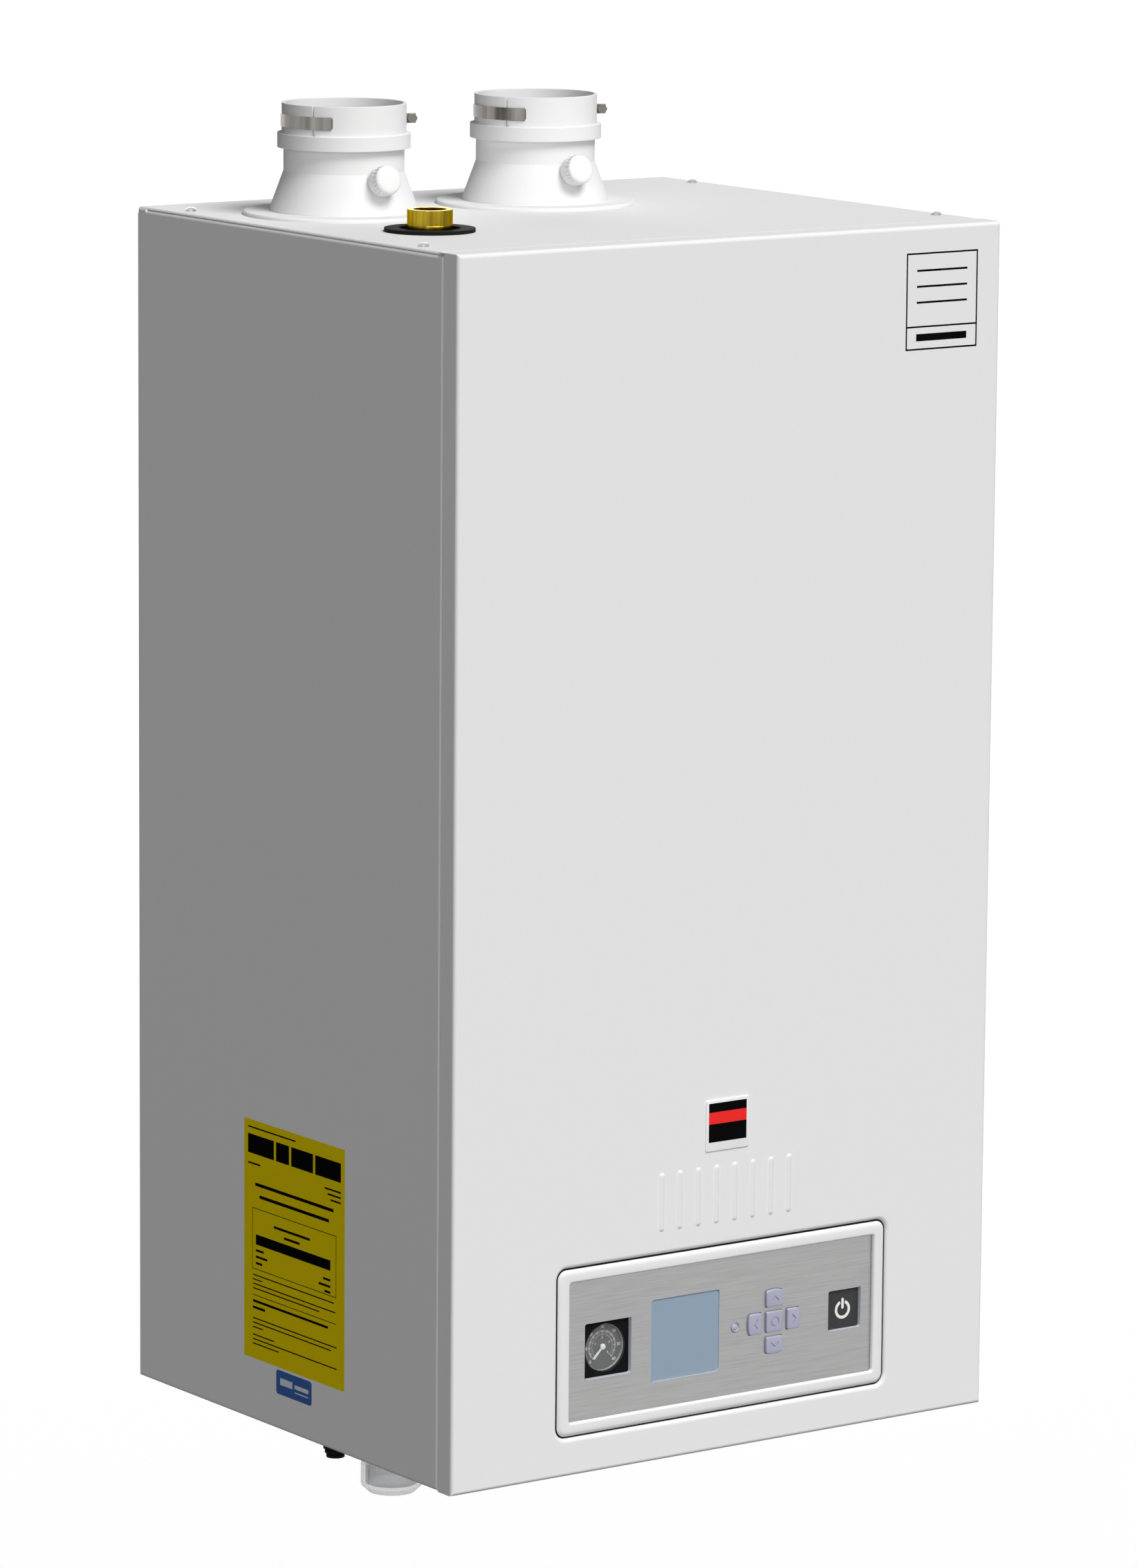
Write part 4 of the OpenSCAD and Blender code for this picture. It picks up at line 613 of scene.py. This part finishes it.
well = bmesh.new()
for radius in (dial_r, well_r):
    bmesh.ops.create_circle(well, cap_ends=False, segments=96, radius=radius)
bmesh.ops.bridge_loops(well, edges=well.edges[:])
settle(stand(thicken(well, well_depth), gauge_x, well_front, row_z), "gauge_well", "chassis", "grey_plastic",
       look=finish("well_moulding", (0.42, 0.42, 0.385), 0.30, 900, shade=0.04))


# %% Ticks and numbers
def tick(angle, inner, outer, width):
    """A thin box that points away from the dial's centre."""
    bm = slab(outer - inner, width, 0, 0.06)
    bmesh.ops.translate(bm, vec=((outer + inner) / 2, 0, 0), verts=bm.verts)
    bmesh.ops.rotate(bm, verts=bm.verts, cent=(0, 0, 0), matrix=Matrix.Rotation(math.radians(angle), 3, "Z"))
    return bm


def figure(text, size):
    """A plain number, centred, as a thin mesh."""
    curve = bpy.data.curves.new("figure", "FONT")
    curve.body, curve.size, curve.extrude = text, size, 0.03
    curve.align_x, curve.align_y = "CENTER", "CENTER"
    holder = bpy.data.objects.new("figure", curve)
    bpy.context.scene.collection.objects.link(holder)
    drawn = bpy.data.meshes.new_from_object(holder.evaluated_get(bpy.context.evaluated_depsgraph_get()))
    bm = bmesh.new()
    bm.from_mesh(drawn)
    bpy.data.objects.remove(holder)
    bpy.data.curves.remove(curve)
    bpy.data.meshes.remove(drawn)
    return bm


sweep_start, sweep = 225, 270
marks = bmesh.new()
for parts, bold_every, inner, long_inner, outer, thin, bold in (
        (60, 5, 11.2, 10.6, 12.6, 0.22, 0.4), (40, 10, 9.0, 8.6, 9.9, 0.18, 0.35)):
    for i in range(parts + 1):
        add(marks, tick(sweep_start - sweep * i / parts, inner if i % 5 else long_inner, outer,
                        thin if i % bold_every else bold))
for step, count, radius, size in ((10, 7, 15.2, 3.4), (1, 5, 6.9, 2.6)):
    for i in range(count):
        angle = math.radians(sweep_start - sweep * i / (count - 1))
        number = figure(str(i * step), size)
        bmesh.ops.translate(number, vec=(radius * math.cos(angle), radius * math.sin(angle), 0), verts=number.verts)
        add(marks, number)
settle(stand(marks, gauge_x, dial_y - 0.25, row_z), "gauge_marks", "chassis", "needle_white")

# %% [markdown]
# The needle turns on its own body. It is a blade that widens to its tip, with a round boss over its pivot: the
# blade is a drawn outline with a thickness, and the boss is a circle with its front rim bevelled into a low dome.

# %% Needle
needle_y = 9.4
needle = outline([(0, -0.6), (11.6, -0.95), (12.1, -0.5), (12.1, 0.5), (11.6, 0.95), (0, 0.6)], 0.6, 0.15)
boss = bmesh.new()
bmesh.ops.create_circle(boss, cap_ends=True, segments=40, radius=2.3)
thicken(boss, 1.5, 0.7, segments=5)
bmesh.ops.translate(boss, vec=(0, 0, 0.4), verts=boss.verts)
settle(stand(add(needle, boss), gauge_x, needle_y, row_z, spin=sweep_start), "needle", "gauge_needle",
       "needle_white", replaces=["gauge_needle"])

# %% [markdown]
# ## Fascia
# The border round the controls is a white moulding. Its outer edge rolls back into the door, where the door's
# own edge rolls in to meet it, so the joint shows as a dark line beside a bright one. Its inner edge is a small
# fillet down to the plate. A section swept round a rounded rectangle is easy to get wrong at the corners, so
# each step of the section is its own rounded rectangle here, and neighbours are bridged.

# %% Frames from rounded rectangles
def sweep_frame(section):
    """A closed frame from steps of width, height, corner radius and depth behind the front."""
    bm = bmesh.new()
    rings = []
    for width, tall, corner, depth in section:
        kept = set(bm.edges)
        made = bmesh.ops.create_grid(bm, x_segments=1, y_segments=1, size=0.5)["verts"]
        bmesh.ops.scale(bm, vec=(width, tall, 1), verts=made)
        bmesh.ops.translate(bm, vec=(0, 0, -depth), verts=made)
        bmesh.ops.bevel(bm, geom=made, offset=corner, offset_type="OFFSET", affect="VERTICES", segments=6,
                        profile=0.5, material=-1)
        rings.append([e for e in bm.edges if e not in kept])
    bmesh.ops.delete(bm, geom=bm.faces[:], context="FACES_ONLY")
    for ring, following in zip(rings, rings[1:] + rings[:1]):
        bmesh.ops.bridge_loops(bm, edges=ring + following)
    return bm


# %% Fascia border
module_x, module_z = 249, 94
fascia_w, fascia_h, fascia_corner, inner_corner, border = 306.8, 128.8, 8, 2, 10.8
outer_roll, inner_roll, plate_y, rim_depth = 4.6, 1.8, 3.0, 20
quarter = [math.radians(a) for a in range(0, 91, 15)]


def fascia_frame(steps):
    """A frame from steps of inset from the fascia's edge, corner radius and depth."""
    return sweep_frame([(fascia_w - 2 * i, fascia_h - 2 * i, corner, depth) for i, corner, depth in steps])


outer = [(outer_roll * (1 - math.cos(a)), outer_roll * (1 - math.sin(a))) for a in quarter]
inner = [(inner_roll * (1 - math.sin(a)), inner_roll * (1 - math.cos(a))) for a in quarter]
insets = [(inset, fascia_corner - inset, depth) for inset, depth in outer]
insets += [(border - inset, inner_corner + inset, depth) for inset, depth in inner]
insets += [(inset, inner_corner, depth)
           for inset, depth in ((border, plate_y - 0.02), (8, 2.9), (5.5, 2.8), (3, 2.7), (3, rim_depth))]
insets += [(0, fascia_corner, rim_depth - 0.2)]
settle(stand(fascia_frame(insets), module_x, 0, module_z), "fascia_border", "chassis", "fascia_white",
       replaces=["control_fascia"])

# %% [markdown]
# A black rubber strip lies in the groove between the fascia and the door's edge. It is painted shade: it
# stands for the shade in the groove and gives the fascia its dark outline. It is a thin frame of the same family,
# a little wider than the fascia and set back behind its roll.

# %% Black strip of painted shade in the groove round the fascia
groove_shade_steps = ((-0.5, 2.5), (-0.4, 2.35), (0.7, 2.25), (0.8, 5.2), (-0.5, 5.0))
groove_shade_strip = fascia_frame([(inset, fascia_corner - inset, depth) for inset, depth in groove_shade_steps])
# The strip is painted shade, a black frame where the groove is in shade.
settle(stand(groove_shade_strip, module_x, 0, module_z), "fascia_groove_shade", "chassis", "rubber")

# %% [markdown]
# ## Openings in the plate
# The gauge and the power key sit deep, so the walls of their openings show, pale on the right and along the
# bottom where they face the light. Each wall is a thin liner with a soft front edge, pressed into the plate. The
# gauge also gets its square black bezel: a slab with a bevelled rim and a round hole cut through it.

# %% Liners
gauge_side, window_w, window_h = 42.6, 63.5, 63
window_x, gauge_front, hole_r = 215, 6.4, 18.6
liner_look = finish("liner_moulding", (0.60, 0.64, 0.72), 0.30, 1200, shade=0.03)

for name, x, width, tall, corner, back in (("gauge_liner", gauge_x, gauge_side, gauge_side, 1.6, 7.0),
                                           ("window_liner", window_x, window_w, window_h, 2.6, 3.96),
                                           ("power_liner", power_x, power_side, power_side, 1.6, 8.9)):
    steps = [(0.66, 0.33, plate_y + 0.02), (0.5, 0.25, plate_y - 0.04), (0.3, 0.15, plate_y + 0.06),
             (0.2, 0.1, plate_y + 0.3), (0.2, 0.1, back), (0.66, 0.33, back)]
    liner = sweep_frame([(width + wider, tall + wider, corner + rounder, depth) for wider, rounder, depth in steps])
    settle(stand(liner, x, 0, row_z), name, "chassis", "fascia_white", look=liner_look)

# %% Gauge bezel
hole = bmesh.new()
bmesh.ops.create_cone(hole, cap_ends=True, segments=96, radius1=hole_r, radius2=hole_r, depth=6)
settle(stand(carve(slab(gauge_side, gauge_side, 1.5, 0.58, 0.5, segments=4), hole), gauge_x, gauge_front, row_z),
       "gauge_bezel", "chassis", "black_plastic")

# %% [markdown]
# ## Turned pieces
# A lens, a cap or a ring is a profile turned round an axis, as on a lathe. The profile is a few points from the
# axis outwards, joined by edges, and one full spin closes it.

# %% A lathe, and the status lens
def turned(points, steps=96):
    """Spins a profile of radius and height once round Z."""
    bm = bmesh.new()
    row = [bm.verts.new((radius, 0, height)) for radius, height in points]
    joined = [bm.edges.new(pair) for pair in zip(row, row[1:])]
    bmesh.ops.spin(bm, geom=row + joined, cent=(0, 0, 0), axis=(0, 0, 1), dvec=(0, 0, 0), angle=2 * math.pi,
                   steps=steps, use_merge=True)
    bmesh.ops.remove_doubles(bm, verts=bm.verts, dist=0.0005)
    return bm


lens_x = 261.8
lens = turned([(0, 0.75), (0.9, 0.68), (1.7, 0.45), (2.3, 0.1), (2.6, -0.25), (2.8, -0.1), (3.05, 0.45), (3.3, 0.7),
               (3.55, 0.62), (3.75, 0.3), (3.8, -0.1), (3.8, -9.5), (0, -9.5)], steps=48)
settle(stand(lens, lens_x, plate_y, row_z), "status_lens", "chassis", "clear_lens", replaces=["indicator_lens"])

# %% [markdown]
# ## Test port caps
# Each adaptor has a sampling port closed by a white push-on cap with finger grooves round its skirt. The cap is
# turned from a profile with a crowned face, and the grooves are then cut with a ring of round rods, so each ends
# in a scoop where it runs out at the rounded edge. Both caps are the same shape, placed on each adaptor.

# %% Grooved caps
groove_n, groove_out, groove_r = 24, 11.7, 1.15
flue_y, adaptor_x = 300, {"exhaust": 278, "intake": 101}
cap_face_y, cap_face_z, cap_tilt = -62.5, 31.2, 15


def grooved_cap():
    """A cap with its face upwards and a ring of finger grooves."""
    cap = turned([(0, 0), (5.5, -0.12), (8.6, -0.5), (9.9, -1.0), (10.8, -1.8), (11.25, -2.9), (11.4, -4.2),
                  (11.45, -7.6), (11.3, -8.2), (11.15, -8.5), (11.15, -13.1), (10.9, -13.45), (7.75, -13.45),
                  (7.75, -5.6), (0, -5.6)])
    rods = bmesh.new()
    for i in range(groove_n):
        rod = turned([(0, -1.6), (0.6, -1.7), (groove_r, -2.5), (groove_r, -7.2), (0.6, -7.9), (0, -8.0)], steps=12)
        bmesh.ops.translate(rod, vec=(groove_out, 0, 0), verts=rod.verts)
        bmesh.ops.rotate(rod, verts=rod.verts, cent=(0, 0, 0),
                         matrix=Matrix.Rotation(2 * math.pi * i / groove_n, 3, "Z"))
        add(rods, rod)
    return carve(cap, rods)


for side, x in adaptor_x.items():
    cap = grooved_cap()
    seat = Matrix.Translation((x, flue_y + cap_face_y, casing_h + cap_face_z))
    bmesh.ops.transform(cap, matrix=seat @ Matrix.Rotation(math.radians(90 - cap_tilt), 4, "X"), verts=cap.verts)
    settle(cap, f"{side}_grooved_cap", f"{side}_test_cap", "cap_plastic", replaces=[f"{side}_test_cap"], crease=30)

# %% [markdown]
# ## Labels and badge
# The left side carries two labels low down, and the door carries a small raised badge and a printed mark. Each is
# a thin sheet with plain bars where a real one is printed. A bar is a slab a few hundredths of a millimetre
# thick, and a list of places and sizes draws the whole print, so it is easy to change.

# %% Printed sheets
def on_left(bm, y, z, proud):
    """Stands a drawing on the left side, facing left, with its X towards the front."""
    turn = Matrix(((0, 0, -1, -proud), (-1, 0, 0, y), (0, 1, 0, z), (0, 0, 0, 1)))
    bmesh.ops.transform(bm, matrix=turn, verts=bm.verts)
    return bm


def bars(rows):
    """Thin printed bars from rows of left edge, top edge, width and height."""
    bm = bmesh.new()
    for left, top, width, tall in rows:
        bar = slab(width, tall, 0, 0.02)
        bmesh.ops.translate(bar, vec=(left + width / 2, top - tall / 2, 0), verts=bar.verts)
        add(bm, bar)
    return bm


def box_lines(left, top, width, tall, line):
    """The four bars of an outlined box."""
    return [(left, top, width, line), (left, top - tall + line, width, line), (left, top, line, tall),
            (left + width - line, top, line, tall)]


# %% Yellow label
label_w, label_h, label_y, label_z = 138.6, 186.6, 212.4, 142.3
sheet_proud, print_proud = 0.03, 0.045
rating_rows = [(-64, 88, 66, 1.2), (-64, 82, 36, 15), (-25, 82, 18, 15), (-4, 82, 30, 15), (29, 82, 35, 15),
               (-64, 60, 17, 1.4), (42, 60, 22, 1.4), (46, 56, 18, 1.4), (50, 52, 14, 1.4),
               (-54, 45, 108, 2.6), (-48, 36, 96, 2.6), (-28, 16, 50, 2.0), (-14, 10, 22, 2.0),
               (-53, 4.6, 103, 8), (-53, -7, 11, 1.8), (-53, -12, 16, 1.8), (-53, -17, 9, 1.8),
               (40, -10, 10, 1.8), (34, -15, 16, 1.8), (42, -19.5, 8, 1.8)]
rating_rows += box_lines(-58, 25, 116, 48, 0.6)
rating_rows += [(-57, top, width, 1.0) for top, width in
                ((-27, 112), (-30.5, 13), (-34, 114), (-37.5, 92), (-61, 116), (-64.5, 108), (-68, 14),
                 (-74, 30), (-77.5, 116), (-81, 36))]
rating_rows += [(-58, -43, 116, 0.6), (-57, -47, 104, 2.0), (-57, -52, 17, 2.0)]

yellow_film = finish("yellow_film", (0.80, 0.62, 0.003), 0.45, 500, shade=0.03, Specular_IOR_Level=0.0)
ink = finish("black_ink", (0.004, 0.004, 0.004), 0.5, 900, shade=0.15, Specular_IOR_Level=0.0)
settle(on_left(slab(label_w, label_h, 0.8, 0.1), label_y, label_z, sheet_proud), "rating_sheet", "chassis",
       "needle_white", look=yellow_film)
settle(on_left(bars(rating_rows), label_y, label_z, print_proud), "rating_print", "chassis", "black_plastic",
       look=ink)

# %% Blue label
small_w, small_h, small_y, small_z = 49, 18.9, 212.2, 37.6
blue_film = finish("blue_film", (0.055, 0.13, 0.40), 0.45, 500, shade=0.04, Specular_IOR_Level=0.0)
pale_ink = finish("pale_ink", (0.5, 0.55, 0.6), 0.5, 900, shade=0.05)
small_rows = [(-19, 3.6, 17, 5.4), (1, 2.2, 19, 3.2), (1, -3.4, 19, 0.9)]
settle(on_left(slab(small_w, small_h, 2.6, 0.1), small_y, small_z, sheet_proud), "blue_sheet", "chassis",
       "needle_white", look=blue_film)
settle(on_left(bars(small_rows), small_y, small_z, print_proud), "blue_print", "chassis", "needle_white",
       look=pale_ink)

# %% Badge
badge_x, badge_z, badge_w, badge_h, badge_t = 249.6, 252.2, 40.2, 39.3, 0.96
badge_enamel = finish("badge_enamel", (0.84, 0.84, 0.84), 0.35, 900, shade=0.02)
red_ink = finish("red_ink", (0.78, 0.005, 0.003), 0.45, 900, shade=0.03)
settle(stand(slab(badge_w, badge_h, 1.2, badge_t, 0.35), badge_x, -badge_t, badge_z), "badge_plaque",
       "front_panel", "needle_white", look=badge_enamel)
settle(stand(bars([(-17.6, 17.2, 35.2, 30)]), badge_x, -badge_t - 0.02, badge_z), "badge_field", "front_panel",
       "black_plastic", look=ink)
settle(stand(bars([(-17.6, 10.2, 35.2, 9)]), badge_x, -badge_t - 0.03, badge_z), "badge_stripe", "front_panel",
       "vessel_paint", look=red_ink)

# %% Corner mark
mark_x, mark_z = 442, 863.2
mark_w, mark_h, mark_line = 68, 73.5, 1.3
mark_rows = box_lines(-mark_w / 2, mark_h / 2, mark_w, mark_h, mark_line)
mark_rows += [(-mark_w / 2, -18.5, mark_w, mark_line), (-24, -24.5, 48, 5.5)]
mark_rows += [(-24, top, 48, 1.6) for top in (24, 12, 0)]
settle(stand(bars(mark_rows), mark_x, -0.02, mark_z), "corner_mark", "front_panel", "black_plastic", look=ink)
